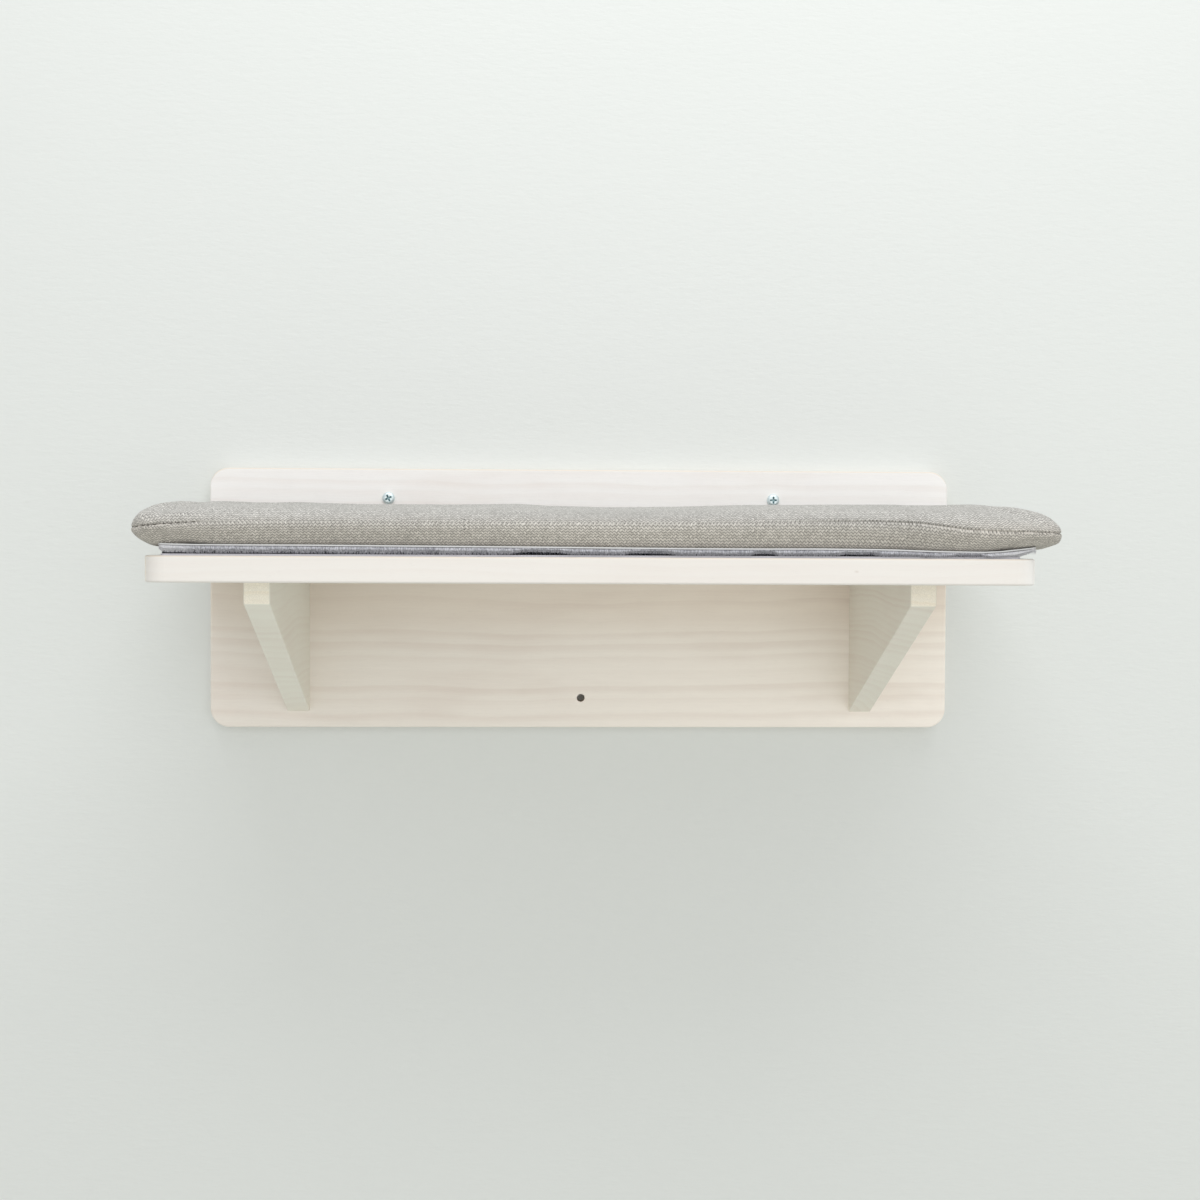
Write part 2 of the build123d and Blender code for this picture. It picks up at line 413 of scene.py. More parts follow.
def glazed_wood(
    name, along, heart, ring_width, glaze_colours, contrast=1.0, spots=(), left_shade=0.0,
    right_end_light=0.0,
):
    """The finish of one board. along is the axis of its fibres, and heart the place of the log's
    heart on the two other axes. A second and a third glaze colour paint light onto the part below
    the shelf: warm bounce light far from it and shade near it. The back takes the second colour
    all over, and the part above the shelf keeps the first, whiter colour with fainter rings, as
    painted top light. One more argument darkens the lower part towards the left, as painted shade
    for light from the right, and another paints a highlight round the right end."""
    finish = Finish(name)
    place = dict(zip("XYZ", finish.place()))
    run = place[along]
    first, second = [place[axis] for axis in "XYZ" if axis != along]
    sway = finish.noise(finish.point(run * 2.6, first * 5.0, second * 3.0), 1.0, 2.0) - 0.5
    ripple = finish.noise(finish.point(run * 9.0, first * 30.0, second * 22.0), 1.0, 3.0) - 0.5
    a = first - heart[0]
    b = second - heart[1] + 0.034 * sway + 0.0085 * ripple
    plain = (a * a + b * b).root() / ring_width
    distance = plain + 1.6 * finish.noise(finish.point(plain * 0.45, 4.0, 1.0), 1.0, 2.0)
    year = distance.floor()
    season = distance.fraction()
    late = season.step(0.15, 0.80) * (1 - season.step(0.82, 1.0))
    strength = 0.15 + 0.85 * finish.speckle(finish.point(year, 3.0, 7.0))
    patches = finish.noise(finish.point(run * 7.0, first * 14.0, second * 40.0), 1.0, 3.0)
    upper = place["Z"].step(0.015, 0.060)
    fine = (distance * 3.7).fraction()
    rings = late * strength * (0.2 + 1.1 * patches) + 0.22 * fine * patches
    fibres = finish.noise(finish.point(run * 45.0, first * 900.0, second * 900.0), 1.0, 3.0, 0.6)
    pores = finish.noise(finish.point(run * 160.0, first * 2600.0, second * 2600.0), 1.0, 1.0)
    pore_marks = pores.step(0.60, 0.74)
    glaze = glaze_colours[0]
    # Painted light on the panel: warm bounce and shade below the shelf, whiter light and fainter
    # rings above
    if len(glaze_colours) > 1:
        bare_back = place["Y"].step(-0.006, -0.002)
        upper = upper * (1 - bare_back)
        shaded = place["Z"].step(-0.045, 0.0) * (1 - bare_back)
        below = finish.blend(shaded, glaze_colours[1], glaze_colours[2])
        # Painted shade towards the left, for light that comes from the right
        lit_from_right = run.step(-0.25, 0.25)
        below = finish.shade(below, 1 - left_shade + 2 * left_shade * lit_from_right)
        glaze = finish.blend(upper, below, glaze)
        rings = rings * (1 - 0.45 * upper)
    clouds = finish.noise(finish.point(run * 6.0, first * 10.0, second * 22.0), 1.0, 3.0, 0.6)
    rose = 0.25 * contrast * rings + 0.20 * contrast * clouds.step(0.45, 0.75)
    glaze = finish.blend(rose.least(0.75), glaze, RING_ROSE)
    glaze = finish.shade(glaze, 1.015 - 0.06 * contrast * (fibres - 0.35) - 0.03 * pore_marks)
    for spot_run, spot_across, spread in spots:
        near = ((run - spot_run) ** 2 + ((second - spot_across) * 1.6) ** 2).root()
        mark = 0.30 * (1 - near.step(0.0, spread))
        glaze = finish.blend(mark, glaze, KNOT_BROWN)
    normal = finish.node("ShaderNodeNewGeometry", out="Normal")
    upright = finish.node("ShaderNodeSeparateXYZ", [normal], out="Z")
    # Painted shade on the upward-facing edge roundings
    arris = upright.step(0.10, 0.45) * (1 - upright.step(0.90, 0.99))
    glaze = finish.blend(0.75 * arris, glaze, ARRIS_SHADE)
    outward = finish.node("ShaderNodeSeparateXYZ", [normal], out=along)
    facing = abs(outward)
    # Painted highlight round the right end
    thick = right_end_light * outward.step(0.0, 0.9)
    glaze = finish.blend(thick, glaze, RIGHT_END_HIGHLIGHT)
    is_end = facing.step(0.80, 0.95)
    cells = finish.node(
        "ShaderNodeTexVoronoi",
        {"Vector": finish.point(run * 60.0, first * 1500.0, second * 1500.0), "Scale": 1.0},
    )
    porous = (0.6 * rings + 0.25).least(0.9) * (1 - 0.8 * thick)
    end_grain = finish.blend(
        porous, finish.blend(thick, glaze_colours[0], RIGHT_END_HIGHLIGHT), END_SAND
    )
    end_grain = finish.shade(end_grain, 1.02 + 0.22 * cells)
    colour = finish.blend(is_end, glaze, end_grain)
    relief = 0.6 * fibres - 0.5 * pore_marks - 0.25 * late * strength + is_end * cells * 0.8
    return finish.surface(
        Base_Color=colour,
        Roughness=0.50 + 0.10 * fibres + 0.16 * is_end,
        Normal=finish.bump(relief, 0.00010, 0.5),
        Specular_IOR_Level=0.35,
    )


wood = {
    "wall_panel": glazed_wood(
        "panel_wood", "X", (0.09, -0.42), 0.0105, (PANEL_GLAZE, PANEL_LOW, PANEL_SHADED), 1.0,
        left_shade=0.07,
    ),
    "shelf_board": glazed_wood(
        "shelf_wood", "X", (-0.12, -0.50), 0.0080, (SHELF_GLAZE,), 0.45, [(0.176, 0.027, 0.0022)],
        right_end_light=0.9,
    ),
    "left_bracket": glazed_wood(
        "left_bracket_wood", "Y", (-0.21, -0.36), 0.0060, (BRACKET_GLAZE,), 0.7
    ),
    "right_bracket": glazed_wood(
        "right_bracket_wood", "Y", (0.20, -0.14), 0.0050, (RIGHT_BRACKET_SHADED_GLAZE,), 1.0
    ),
}
for board, material in wood.items():
    paint(nodes[board], material)
print("boards:", list(wood))

# %% [markdown]
# ## Screws
# Two pan-headed zinc screws hold the panel on the wall, and eleven smaller ones join the boards
# from behind and above. A screw can be turned from a drawn half-profile, or pulled out of a
# primitive face by face. The second way is used, because it shows how the head, neck and core
# follow each other: every section is one extrusion and one resize of the same end face. The
# thread is a three-sided wire wound by a Screw modifier, with its inner side sunk in the core.

# %% Selecting faces by their place
def edit(piece, kind="FACE"):
    take(piece)
    bpy.ops.object.mode_set(mode="EDIT")
    bpy.ops.mesh.select_mode(type=kind)
    bpy.ops.mesh.select_all(action="DESELECT")


def leave():
    bpy.ops.object.mode_set(mode="OBJECT")


def select_faces(piece, test):
    """Selects, in edit mode, the faces whose middle and normal pass a test."""
    shape = bmesh.from_edit_mesh(piece.data)
    for face in shape.faces:
        face.select_set(bool(test(face.calc_center_median(), face.normal)))
    bmesh.update_edit_mesh(piece.data)


def use_modifier(piece, kind, **settings):
    """Adds a modifier, sets it and applies it."""
    take(piece)
    modifier = piece.modifiers.new(kind.lower(), kind)
    for key, value in settings.items():
        setattr(modifier, key, value)
    bpy.ops.object.modifier_apply(modifier=modifier.name)


def smooth(piece, angle=35):
    take(piece)
    bpy.ops.object.shade_smooth_by_angle(angle=math.radians(angle))


# %% Thread and recess
thread_steps = 18
thread_sink = 0.15 * MM
half_ridge_share = 0.38
least_ridge, fade_turns = 0.12, 1.6
bit_taper = 0.45


def thread(core, crest, pitch, start, end):
    """A ridge wound round Z from start down to end, sunk a little into the core."""
    root = core - thread_sink
    half = half_ridge_share * pitch
    bpy.ops.mesh.primitive_circle_add(vertices=3, radius=half, fill_type="NOTHING")
    ridge = bpy.context.object
    corners = [(root, 0, -half), (crest, 0, 0), (root, 0, half)]
    for vertex, corner in zip(ridge.data.vertices, corners):
        vertex.co = corner
    turns = int((start - end - 2 * half) / pitch)
    use_modifier(
        ridge, "SCREW", axis="Z", angle=2 * math.pi, screw_offset=pitch, iterations=turns,
        steps=thread_steps, render_steps=thread_steps,
    )
    ridge.location.z = start - half - turns * pitch
    apply_place(ridge)
    for vertex in ridge.data.vertices:
        radius = math.hypot(vertex.co.x, vertex.co.y)
        from_ends = min(start - vertex.co.z, vertex.co.z - end)
        keep = min(1, max(least_ridge, from_ends / (fade_turns * pitch)))
        grown = root + (radius - root) * keep
        vertex.co.x *= grown / radius
        vertex.co.y *= grown / radius
    edit(ridge, "EDGE")
    bpy.ops.mesh.select_non_manifold()
    bpy.ops.mesh.edge_face_add()
    bpy.ops.mesh.select_all(action="SELECT")
    bpy.ops.mesh.normals_make_consistent(inside=False)
    leave()
    return ridge


def cut(piece, cutter):
    """Takes the cutter's shape out of a piece and removes the cutter."""
    use_modifier(piece, "BOOLEAN", operation="DIFFERENCE", object=cutter, solver="EXACT")
    bpy.data.objects.remove(cutter)


def cross_cutter(top, span, width, depth):
    """Two crossed wedges that narrow downwards, as the point of a cross-head bit does."""
    bars = []
    for turn in (0, math.pi / 2):
        bpy.ops.mesh.primitive_cube_add(size=1, location=(0, 0, top - depth / 2))
        bar = bpy.context.object
        bar.scale = (span, width, depth)
        bar.rotation_euler.z = turn
        apply_place(bar)
        edit(bar)
        select_faces(bar, lambda middle, normal: normal.z < -0.5)
        bpy.ops.transform.resize(value=(bit_taper, bit_taper, 1))
        leave()
        bars.append(bar)
    return bars


# %% Turned bodies
round_steps = 36


def turned(name, radius, height, sections):
    """A body pulled from a disc: each section is (new radius, distance), up or down Z."""
    bpy.ops.mesh.primitive_cylinder_add(
        vertices=round_steps, radius=radius, depth=height, location=(0, 0, height / 2)
    )
    body = bpy.context.object
    body.name = name
    apply_place(body)
    for way, steps in sections.items():
        edit(body)
        select_faces(body, lambda middle, normal: normal.z * way > 0.9)
        reached = radius
        for new_radius, distance in steps:
            bpy.ops.mesh.extrude_region_move(
                TRANSFORM_OT_translate={"value": (0, 0, way * distance)}
            )
            bpy.ops.transform.resize(value=(new_radius / reached, new_radius / reached, 1))
            reached = new_radius
        leave()
    return body


def joined(name, pieces):
    take(pieces[0])
    for piece in pieces[1:]:
        piece.select_set(True)
    bpy.ops.object.join()
    pieces[0].name = name
    return pieces[0]


def copy_of(piece, name):
    made = piece.copy()
    made.data = piece.data.copy()
    made.name = name
    scene.collection.objects.link(made)
    return made


def lay(piece, place, turn=Matrix.Identity(3)):
    """Lays a piece that was drawn along Z in its place, in its mesh."""
    piece.data.transform(Matrix.Translation(place) @ turn.to_4x4())
    piece.data.update()


# %% Zinc
ZINC_BRIGHT, ZINC_DULL, ZINC_SHANK = (0.74, 0.84, 0.86), (0.60, 0.66, 0.67), (0.68, 0.72, 0.73)
RECESS_SHADE = (0.20, 0.36, 0.39)


def zinc(name, colour, roughness, head=None):
    """Zinc: bluish, with faint turning marks and duller patches. Where the middle of a head's
    front is given, the recess in it is painted dark as shade, and the shank behind is greyer."""
    finish = Finish(name)
    x, y, z = finish.place()
    if head:
        aside, front, level = head
        radius = ((abs(x) - aside) ** 2 + (z - level) ** 2).root()
        in_recess = 1 - radius.step(2.9 * MM, 3.1 * MM)
        # The recess is painted dark as shade
        deep = y.step(front + 0.10 * MM, front + 0.55 * MM) * in_recess
        shank = y.step(front + 4.0 * MM, front + 6.0 * MM)
        colour = finish.blend(shank, colour, ZINC_SHANK)
        colour = finish.blend(0.7 * deep, colour, RECESS_SHADE)
    marks = finish.noise(finish.point(x * 3000.0, y * 700.0, z * 3000.0), 1.0, 3.0)
    patches = finish.noise(finish.point(x, y, z), 420.0, 2.0)
    return finish.surface(
        Base_Color=finish.shade(colour, 0.82 + 0.30 * patches),
        Metallic=1.0,
        Roughness=roughness + 0.16 * patches + 0.05 * marks,
        Normal=finish.bump(marks, 0.00003, 0.4),
    )


# %% Wall screws
wall_screw_low, wall_screw_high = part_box("left_wall_screw")
screw_aside = abs(wall_screw_low.x + wall_screw_high.x) / 2
screw_level = (wall_screw_low.z + wall_screw_high.z) / 2
bright_zinc = zinc(
    "bright_zinc", ZINC_BRIGHT, 0.38, (screw_aside, wall_screw_low.y, screw_level)
)
dull_zinc = zinc("dull_zinc", ZINC_DULL, 0.34)
head_radius = (wall_screw_high.x - wall_screw_low.x) / 2
seat = -panel_low.y
head_height = -wall_screw_low.y - seat
wall_screw_length = wall_screw_high.y + seat
rim = 1.1 * MM
head_flat = 3.1 * MM
dome_steps = 5
neck_radius, core_radius, crest_radius = 1.9 * MM, 1.75 * MM, 2.45 * MM
neck_length, shoulder, tip_length = 20 * MM, 0.6 * MM, 7 * MM
point_radius = 0.15 * MM
thread_pitch, thread_stop = 2.2 * MM, 1.5 * MM
recess_span, recess_width, recess_depth = 6.0 * MM, 1.5 * MM, 2.2 * MM
cut_overrun = 0.1 * MM

dome = []
for step in range(1, dome_steps + 1):
    rise = step / dome_steps
    before = (step - 1) / dome_steps
    radius = head_flat + (head_radius - head_flat) * math.sqrt(1 - rise**2)
    dome.append((radius, (head_height - rim) * (rise - before)))
shank = [
    (neck_radius, 0),
    (neck_radius, neck_length),
    (core_radius, shoulder),
    (core_radius, wall_screw_length - neck_length - tip_length - shoulder),
    (point_radius, tip_length),
]
wall_screw = turned("wall_screw", head_radius, rim, {1: dome, -1: shank})
for bar in cross_cutter(head_height + cut_overrun, recess_span, recess_width, recess_depth):
    cut(wall_screw, bar)
ridge = thread(
    core_radius, crest_radius, thread_pitch, -neck_length, -wall_screw_length + thread_stop
)
wall_screw = joined("wall_screw", [wall_screw, ridge])
paint(wall_screw, bright_zinc)
smooth(wall_screw, 40)

to_the_front = Matrix.Rotation(math.pi / 2, 3, "X")
recess_turns = {"left": math.radians(26), "right": 0.0}
for side, turn in recess_turns.items():
    low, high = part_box(f"{side}_wall_screw")
    piece = copy_of(wall_screw, f"{side}_pan_head_screw")
    place = Vector(((low.x + high.x) / 2, panel_low.y, (low.z + high.z) / 2))
    lay(piece, place, to_the_front @ Matrix.Rotation(turn, 3, "Z"))
    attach(piece, "wall_unit")
    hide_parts(f"{side}_wall_screw")
    print(piece.name, len(piece.data.polygons), "faces")
bpy.data.objects.remove(wall_screw)

# %% Wood screws
rear_low, rear_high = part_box("shelf_screw_2")
top_low, top_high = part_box("left_bracket_rear_top_screw")
wood_head_radius = (rear_high.x - rear_low.x) / 2
wood_head_height, head_softening = 3.0 * MM, 0.35 * MM
wood_neck, wood_core, wood_crest = 1.9 * MM, 1.55 * MM, 2.2 * MM
wood_shoulder, wood_pitch = 0.5 * MM, 2.0 * MM
neck_share, core_share, tip_share = 0.25, 0.62, 0.13
socket_width, socket_depth = 3.0 * MM, 2.0 * MM


def wood_screw(name, length):
    """A furniture screw: cylinder head with a softened rim, hexagon socket, core and thread."""
    soft = head_softening
    crown = [(wood_head_radius, wood_head_height - 2 * soft), (wood_head_radius - soft, soft)]
    under = [
        (wood_neck, 0),
        (wood_neck, neck_share * length),
        (wood_core, wood_shoulder),
        (wood_core, core_share * length),
        (point_radius, tip_share * length - wood_head_height - wood_shoulder),
    ]
    screw = turned(name, wood_head_radius, soft, {1: crown, -1: under})
    bpy.ops.mesh.primitive_cylinder_add(
        vertices=6, radius=socket_width / math.sqrt(3), depth=2 * socket_depth,
        location=(0, 0, wood_head_height),
    )
    cutter = bpy.context.object
    apply_place(cutter)
    cut(screw, cutter)
    thread_end = -length + wood_head_height + thread_stop
    ridge = thread(wood_core, wood_crest, wood_pitch, -neck_share * length, thread_end)
    screw = joined(name, [screw, ridge])
    paint(screw, dull_zinc)
    smooth(screw, 40)
    return screw


rear_pattern = wood_screw("rear_pattern", rear_high.y - rear_low.y)
top_pattern = wood_screw("top_pattern", top_high.z - top_low.z)
to_the_back = Matrix.Rotation(-math.pi / 2, 3, "X")
sides = ("left", "right")
rear_names = [f"shelf_screw_{number}" for number in (1, 2, 3)]
rear_names += [f"{side}_bracket_{level}_screw" for side in sides for level in ("upper", "lower")]
top_names = [f"{side}_bracket_{end}_top_screw" for side in sides for end in ("rear", "front")]
socket_turn = 0.37
for number, name in enumerate(rear_names + top_names):
    low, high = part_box(name)
    middle = (low + high) / 2
    if name in rear_names:
        piece = copy_of(rear_pattern, f"{name}_threaded")
        place = Vector((middle.x, high.y - wood_head_height, middle.z))
        turn = to_the_back
    else:
        piece = copy_of(top_pattern, f"{name}_threaded")
        place = Vector((middle.x, middle.y, high.z - wood_head_height))
        turn = Matrix.Identity(3)
    lay(piece, place, turn @ Matrix.Rotation(socket_turn * number, 3, "Z"))
    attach(piece, "wall_unit")
    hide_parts(name)
bpy.data.objects.remove(rear_pattern)
bpy.data.objects.remove(top_pattern)
print("wood screws:", len(rear_names + top_names))

# %% [markdown]
# ## Dowels
# Two beech dowels line the shelf up with the panel. A bought dowel has chamfered ends and long
# flutes, so that air and glue can get out of its hole. It is pulled from a cylinder like the
# screws, and its flutes come from drawing every third line of vertices inwards.

# %% Dowels
dowel_low, dowel_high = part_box("left_shelf_dowel")
dowel_radius = (dowel_high.x - dowel_low.x) / 2
dowel_length = dowel_high.y - dowel_low.y
dowel_chamfer = 1.0 * MM
flute_depth, flute_every = 0.35 * MM, 3


BEECH_DARK, BEECH_LIGHT, BEECH_FLECK = (0.62, 0.42, 0.25), (0.78, 0.60, 0.41), (0.42, 0.24, 0.13)


def beech():
    finish = Finish("beech_pin")
    x, y, z = finish.place()
    fibres = finish.noise(finish.point(x * 900.0, y * 40.0, z * 900.0), 1.0, 3.0)
    flecks = finish.noise(finish.point(x * 2500.0, y * 260.0, z * 2500.0), 1.0, 1.0).step(0.6, 0.7)
    tone = finish.blend(fibres, BEECH_DARK, BEECH_LIGHT)
    return finish.surface(
        Base_Color=finish.blend(0.35 * flecks, tone, BEECH_FLECK),
        Roughness=0.62 + 0.1 * fibres,
        Normal=finish.bump(fibres, 0.0001, 0.5),
    )


ends = [(dowel_radius - dowel_chamfer, dowel_chamfer)]
shaft = turned(
    "dowel_pattern", dowel_radius, dowel_length - 2 * dowel_chamfer, {1: ends, -1: ends}
)
for vertex in shaft.data.vertices:
    line = round(math.atan2(vertex.co.y, vertex.co.x) / (2 * math.pi) * round_steps)
    if line % flute_every == 0:
        keep = 1 - flute_depth / dowel_radius
        vertex.co.x *= keep
        vertex.co.y *= keep
paint(shaft, beech())
smooth(shaft, 20)
for side in sides:
    low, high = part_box(f"{side}_shelf_dowel")
    piece = copy_of(shaft, f"{side}_fluted_dowel")
    place = Vector(((low.x + high.x) / 2, high.y - dowel_chamfer, (low.z + high.z) / 2))
    lay(piece, place, to_the_front)
    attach(piece, "wall_unit")
    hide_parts(f"{side}_shelf_dowel")
bpy.data.objects.remove(shaft)
print("dowels:", dowel_radius * 2000, "mm thick")

# %% [markdown]
# ## The cushion
# The seat is a thin pad in a woven cover: an upper and a lower panel, sewn together round the
# edge and stuffed. Seen from the front it has a blunt left end, a longer drawn-out right end, a
# nearly flat top and a seam that dips towards the right. Modelling it by moving points gives a
# dead shape, so the filling's solid is remeshed to an even net and blown up by a cloth
# simulation that is held along the seam. Then the seam is cut in, and each half becomes a cover.

# %% Simulated pad
voxel = 5.0 * MM
swell_limit = 5.0 * MM
swell_frames = 20
seam_hold = 3.2 * MM


def points_of(piece):
    flat = np.empty(len(piece.data.vertices) * 3)
    piece.data.vertices.foreach_get("co", flat)
    return flat.reshape(-1, 3)


def set_points(piece, points):
    piece.data.vertices.foreach_set("co", points.ravel())
    piece.data.update()


def blown_up(pad):
    """Inflates the pad with its seam held, and keeps every point near where it was."""
    before = points_of(pad)
    held = pad.vertex_groups.new(name="seam_hold")
    near_seam = np.nonzero(abs(before[:, 2] - seam_height) < seam_hold)[0]
    held.add([int(i) for i in near_seam], 1.0, "REPLACE")
    take(pad)
    cloth = pad.modifiers.new("swell", "CLOTH")
    cloth.settings.quality = 5
    cloth.settings.mass = 0.3
    cloth.settings.tension_stiffness = 12
    cloth.settings.compression_stiffness = 12
    cloth.settings.shear_stiffness = 4
    cloth.settings.bending_stiffness = 0.35
    cloth.settings.use_pressure = True
    cloth.settings.uniform_pressure_force = 4.0
    cloth.settings.effector_weights.gravity = 0
    cloth.settings.vertex_group_mass = held.name
    cloth.collision_settings.use_collision = False
    for frame_number in range(1, swell_frames + 1):
        scene.frame_set(frame_number)
    bpy.ops.object.modifier_apply(modifier=cloth.name)
    scene.frame_set(1)
    moved = points_of(pad) - before
    reach = np.linalg.norm(moved, axis=1)
    share = np.minimum(1, swell_limit / np.maximum(reach, 1e-9))
    set_points(pad, before + moved * share[:, None])
    print("swell, mm: mean", round(1000 * reach.mean(), 2), "most", round(1000 * reach.max(), 2))


pad = copy_of(nodes["cushion_filling"], "pad")
pad.parent = None
for key in list(pad.keys()):
    del pad[key]
edit(pad)
bpy.ops.mesh.select_all(action="SELECT")
bpy.ops.mesh.remove_doubles(threshold=0.02 * MM)
leave()
use_modifier(pad, "REMESH", mode="VOXEL", voxel_size=voxel)
use_modifier(pad, "SMOOTH", factor=0.5, iterations=6)
print("pad net:", len(pad.data.vertices), "points")
blown_up(pad)

# %% [markdown]
# The simulated pad is now fitted into the space that the model keeps for it. A curtain hung on
# its seam tells how far inside the edge each point lies. With that distance the pad's average
# profile is brought to the one in the photograph, which is fuller than a plain pillow: upright
# at the edge and nearly flat on top. The two ends have profiles of their own, since the left one
# is blunt above and drawn in below, and the right one tapers below. The cloth's own swellings
# stay, because every point is scaled by the same curve.

# %% Profile
UPPER_PROFILE = (
    (0, 0.5), (2.6, 4.4), (4.5, 6.4), (7.7, 9.2), (12.8, 12.2), (20.6, 14.5), (28, 15.6),
    (38, 16.1), (60, 16.3),
)
LOWER_PROFILE = ((0, 0.5), (3, 8.6), (5.5, 11.7), (7.5, 13.5), (9, 14.2), (60, 14.2))
UPPER_LEFT = (
    (0, 0.5), (2.3, 7.2), (4.6, 9.4), (8.4, 11.9), (12.3, 14.2), (15.3, 15.6), (18.7, 16.1),
    (24, 16.2), (38, 16.2), (60, 16.3),
)
UPPER_RIGHT = (
    (0, 0.5), (2.6, 4.5), (4.5, 6.6), (7.7, 9.3), (12.8, 12.1), (20.6, 14.1), (28, 15.1),
    (38, 15.9), (60, 16.3),
)
LOWER_LEFT = (
    (0, 0.5), (2.5, 6.1), (5, 9.4), (6.3, 11.4), (9.1, 13.5), (13, 14.2), (60, 14.2),
)
LOWER_RIGHT = (
    (0, 0.5), (2.5, 7.2), (3.8, 8.7), (6, 10.8), (9, 12.7), (12, 13.5), (16.8, 14.2), (60, 14.2),
)
end_reach = 30 * MM
own_swell, swell_range = 0.5, (0.5, 1.5)
least_distance = 2.5 * MM
bin_width, usual_rank = 2.0, 70


def smooth_step(value):
    value = np.clip(value, 0, 1)
    return value * value * (3 - 2 * value)


def drawn(stations, places):
    """A curve through stations in mm, read at places in metres."""
    at, values = zip(*stations)
    return np.interp(np.asarray(places) / MM, at, values) * MM


def seam_edges(piece, level):
    """Cuts a piece at a level and gives the cut as pairs of points."""
    shape = bmesh.new()
    shape.from_mesh(piece.data)
    cut_parts = bmesh.ops.bisect_plane(
        shape, geom=shape.verts[:] + shape.edges[:] + shape.faces[:],
        plane_co=(0, 0, level), plane_no=(0, 0, 1),
    )["geom_cut"]
    cut_edges = [part for part in cut_parts if isinstance(part, bmesh.types.BMEdge)]
    pairs = [[v.co.copy() for v in edge.verts] for edge in cut_edges]
    shape.free()
    return pairs


def edge_distances(pairs, points):
    """How far each point lies inside an outline, seen from above."""
    rise = Vector((0, 0, 0.1))
    corners, quads = [], []
    for a, b in pairs:
        quads.append(range(len(corners), len(corners) + 4))
        corners += [a - rise, b - rise, b + rise, a + rise]
    curtain = BVHTree.FromPolygons(corners, [tuple(q) for q in quads])
    return np.array([curtain.find_nearest(Vector(p))[3] for p in points])


points = points_of(pad)
low, high = points.min(0), points.max(0)
room_low, room_high = np.array(cushion_low), np.array(cushion_high)
points = room_low + (points - low) * (room_high - room_low) / (high - low)
set_points(pad, points)
depth = edge_distances(seam_edges(pad, seam_height), points)
above = points[:, 2] - seam_height
inside = np.maximum(depth, least_distance)
bins = np.arange(0, 62, bin_width)
at_left = smooth_step((cushion_low.x + 2 * end_reach - points[:, 0]) / end_reach)
at_right = smooth_step((points[:, 0] - cushion_high.x + 2 * end_reach) / end_reach)
for way, profile, left_profile, right_profile in (
    (1, UPPER_PROFILE, UPPER_LEFT, UPPER_RIGHT),
    (-1, LOWER_PROFILE, LOWER_LEFT, LOWER_RIGHT),
):
    chosen = way * above > 0
    number = np.clip(depth / MM / bin_width, 0, len(bins) - 1).astype(int)
    heights = np.array([
        np.percentile(way * above[chosen & (number == n)], usual_rank) / MM
        for n in range(len(bins))
    ])
    now = np.interp(inside / MM, bins + bin_width / 2, heights)
    wanted = (
        at_left * drawn(left_profile, inside)
        + at_right * drawn(right_profile, inside)
        + (1 - at_left - at_right) * drawn(profile, inside)
    ) / MM
    print("profile before, mm:", [round(float(h), 1) for h in heights[:8]])
    at_rim = depth < least_distance
    swell = np.clip(way * above / MM / now, *swell_range)
    fitted = np.where(at_rim, way * above / MM * wanted / now, wanted * swell**own_swell)
    above = np.where(chosen, way * fitted * MM, above)
points[:, 2] = seam_height + above
set_points(pad, points)
use_modifier(pad, "SUBSURF", levels=1, render_levels=1)

# %% [markdown]
# The seam comes next. It is cut in as five close rings of edges, and the middle one is drawn
# inwards, deeper where the photograph shows a sharp line. The whole edge then follows the seam's
# wave: low at the left tip, high along the front, and low again after a dip at the right.

# %% Cutting the seam in
SEAM_STATIONS = (
    (-308, -1.5), (-283, 0.9), (-262, 2.4), (-150, 3.0), (60, 3.2), (150, 4.6), (184, 4.8),
    (217, 3.8), (235, 1.6), (250, -0.4), (271, -1.3), (291, -1.8), (317, -2.7),
)
TOP_STATIONS = (
    (-300, -0.2), (-200, 0.0), (-90, -0.5), (-52, 0.2), (-30, -1.1), (4, -1.5), (58, -1.0),
    (112, 0.6), (190, 0.9), (250, 0.6), (300, 0),
)
UNDER_STATIONS = (
    (-308, 0.7), (-195, 0.7), (-60, 0.2), (58, -0.5), (110, -0.5), (150, -0.3), (184, -0.5),
    (204, -0.8), (230, -1.7), (264, -2.1), (290, -0.7), (305, 0.5), (317, 1.0),
)
ring_heights = (-2.4, -0.9, 0.0, 0.9, 2.4)
groove_depth = 1.1 * MM
groove_width = 0.95 * MM
thread_places, thread_ramps = (-246 * MM, 110 * MM), (25 * MM, 60 * MM)
pucker_pitch, pucker_height = 13 * MM, 0.10 * MM
pucker_level, pucker_spread = 4 * MM, 3 * MM
crown_reach, seam_reach = 12 * MM, 14 * MM
rumple_height = 0.6 * MM
on_the_cut = 0.001 * MM

for ring_height in ring_heights:
    edit(pad)
    bpy.ops.mesh.select_all(action="SELECT")
    bpy.ops.mesh.bisect(plane_co=(0, 0, seam_height + ring_height * MM), plane_no=(0, 0, 1))
    leave()
flat_pad = copy_of(pad, "flat_pad")
points = points_of(pad)
flat_points = points.copy()
flat_offset = points[:, 2] - seam_height
seam_ring = abs(flat_offset) < on_the_cut
rounded = np.array([v.normal for v in pad.data.vertices])
rounded[:, 2] = 0
rounded /= np.maximum(np.linalg.norm(rounded, axis=1), 1e-9)[:, None]
level = abs(flat_offset)
seam_depth = groove_depth * (
    0.05
    + 0.95 * smooth_step((thread_places[0] - points[:, 0]) / thread_ramps[0])
    + 0.95 * smooth_step((points[:, 0] - thread_places[1]) / thread_ramps[1])
)
pinch = np.clip(1 - level / groove_width, 0, 1)
edge_run = points[:, 0] + points[:, 1]
pucker = np.cos(edge_run / pucker_pitch * 2 * math.pi + 3 * np.cos(edge_run / 0.09))
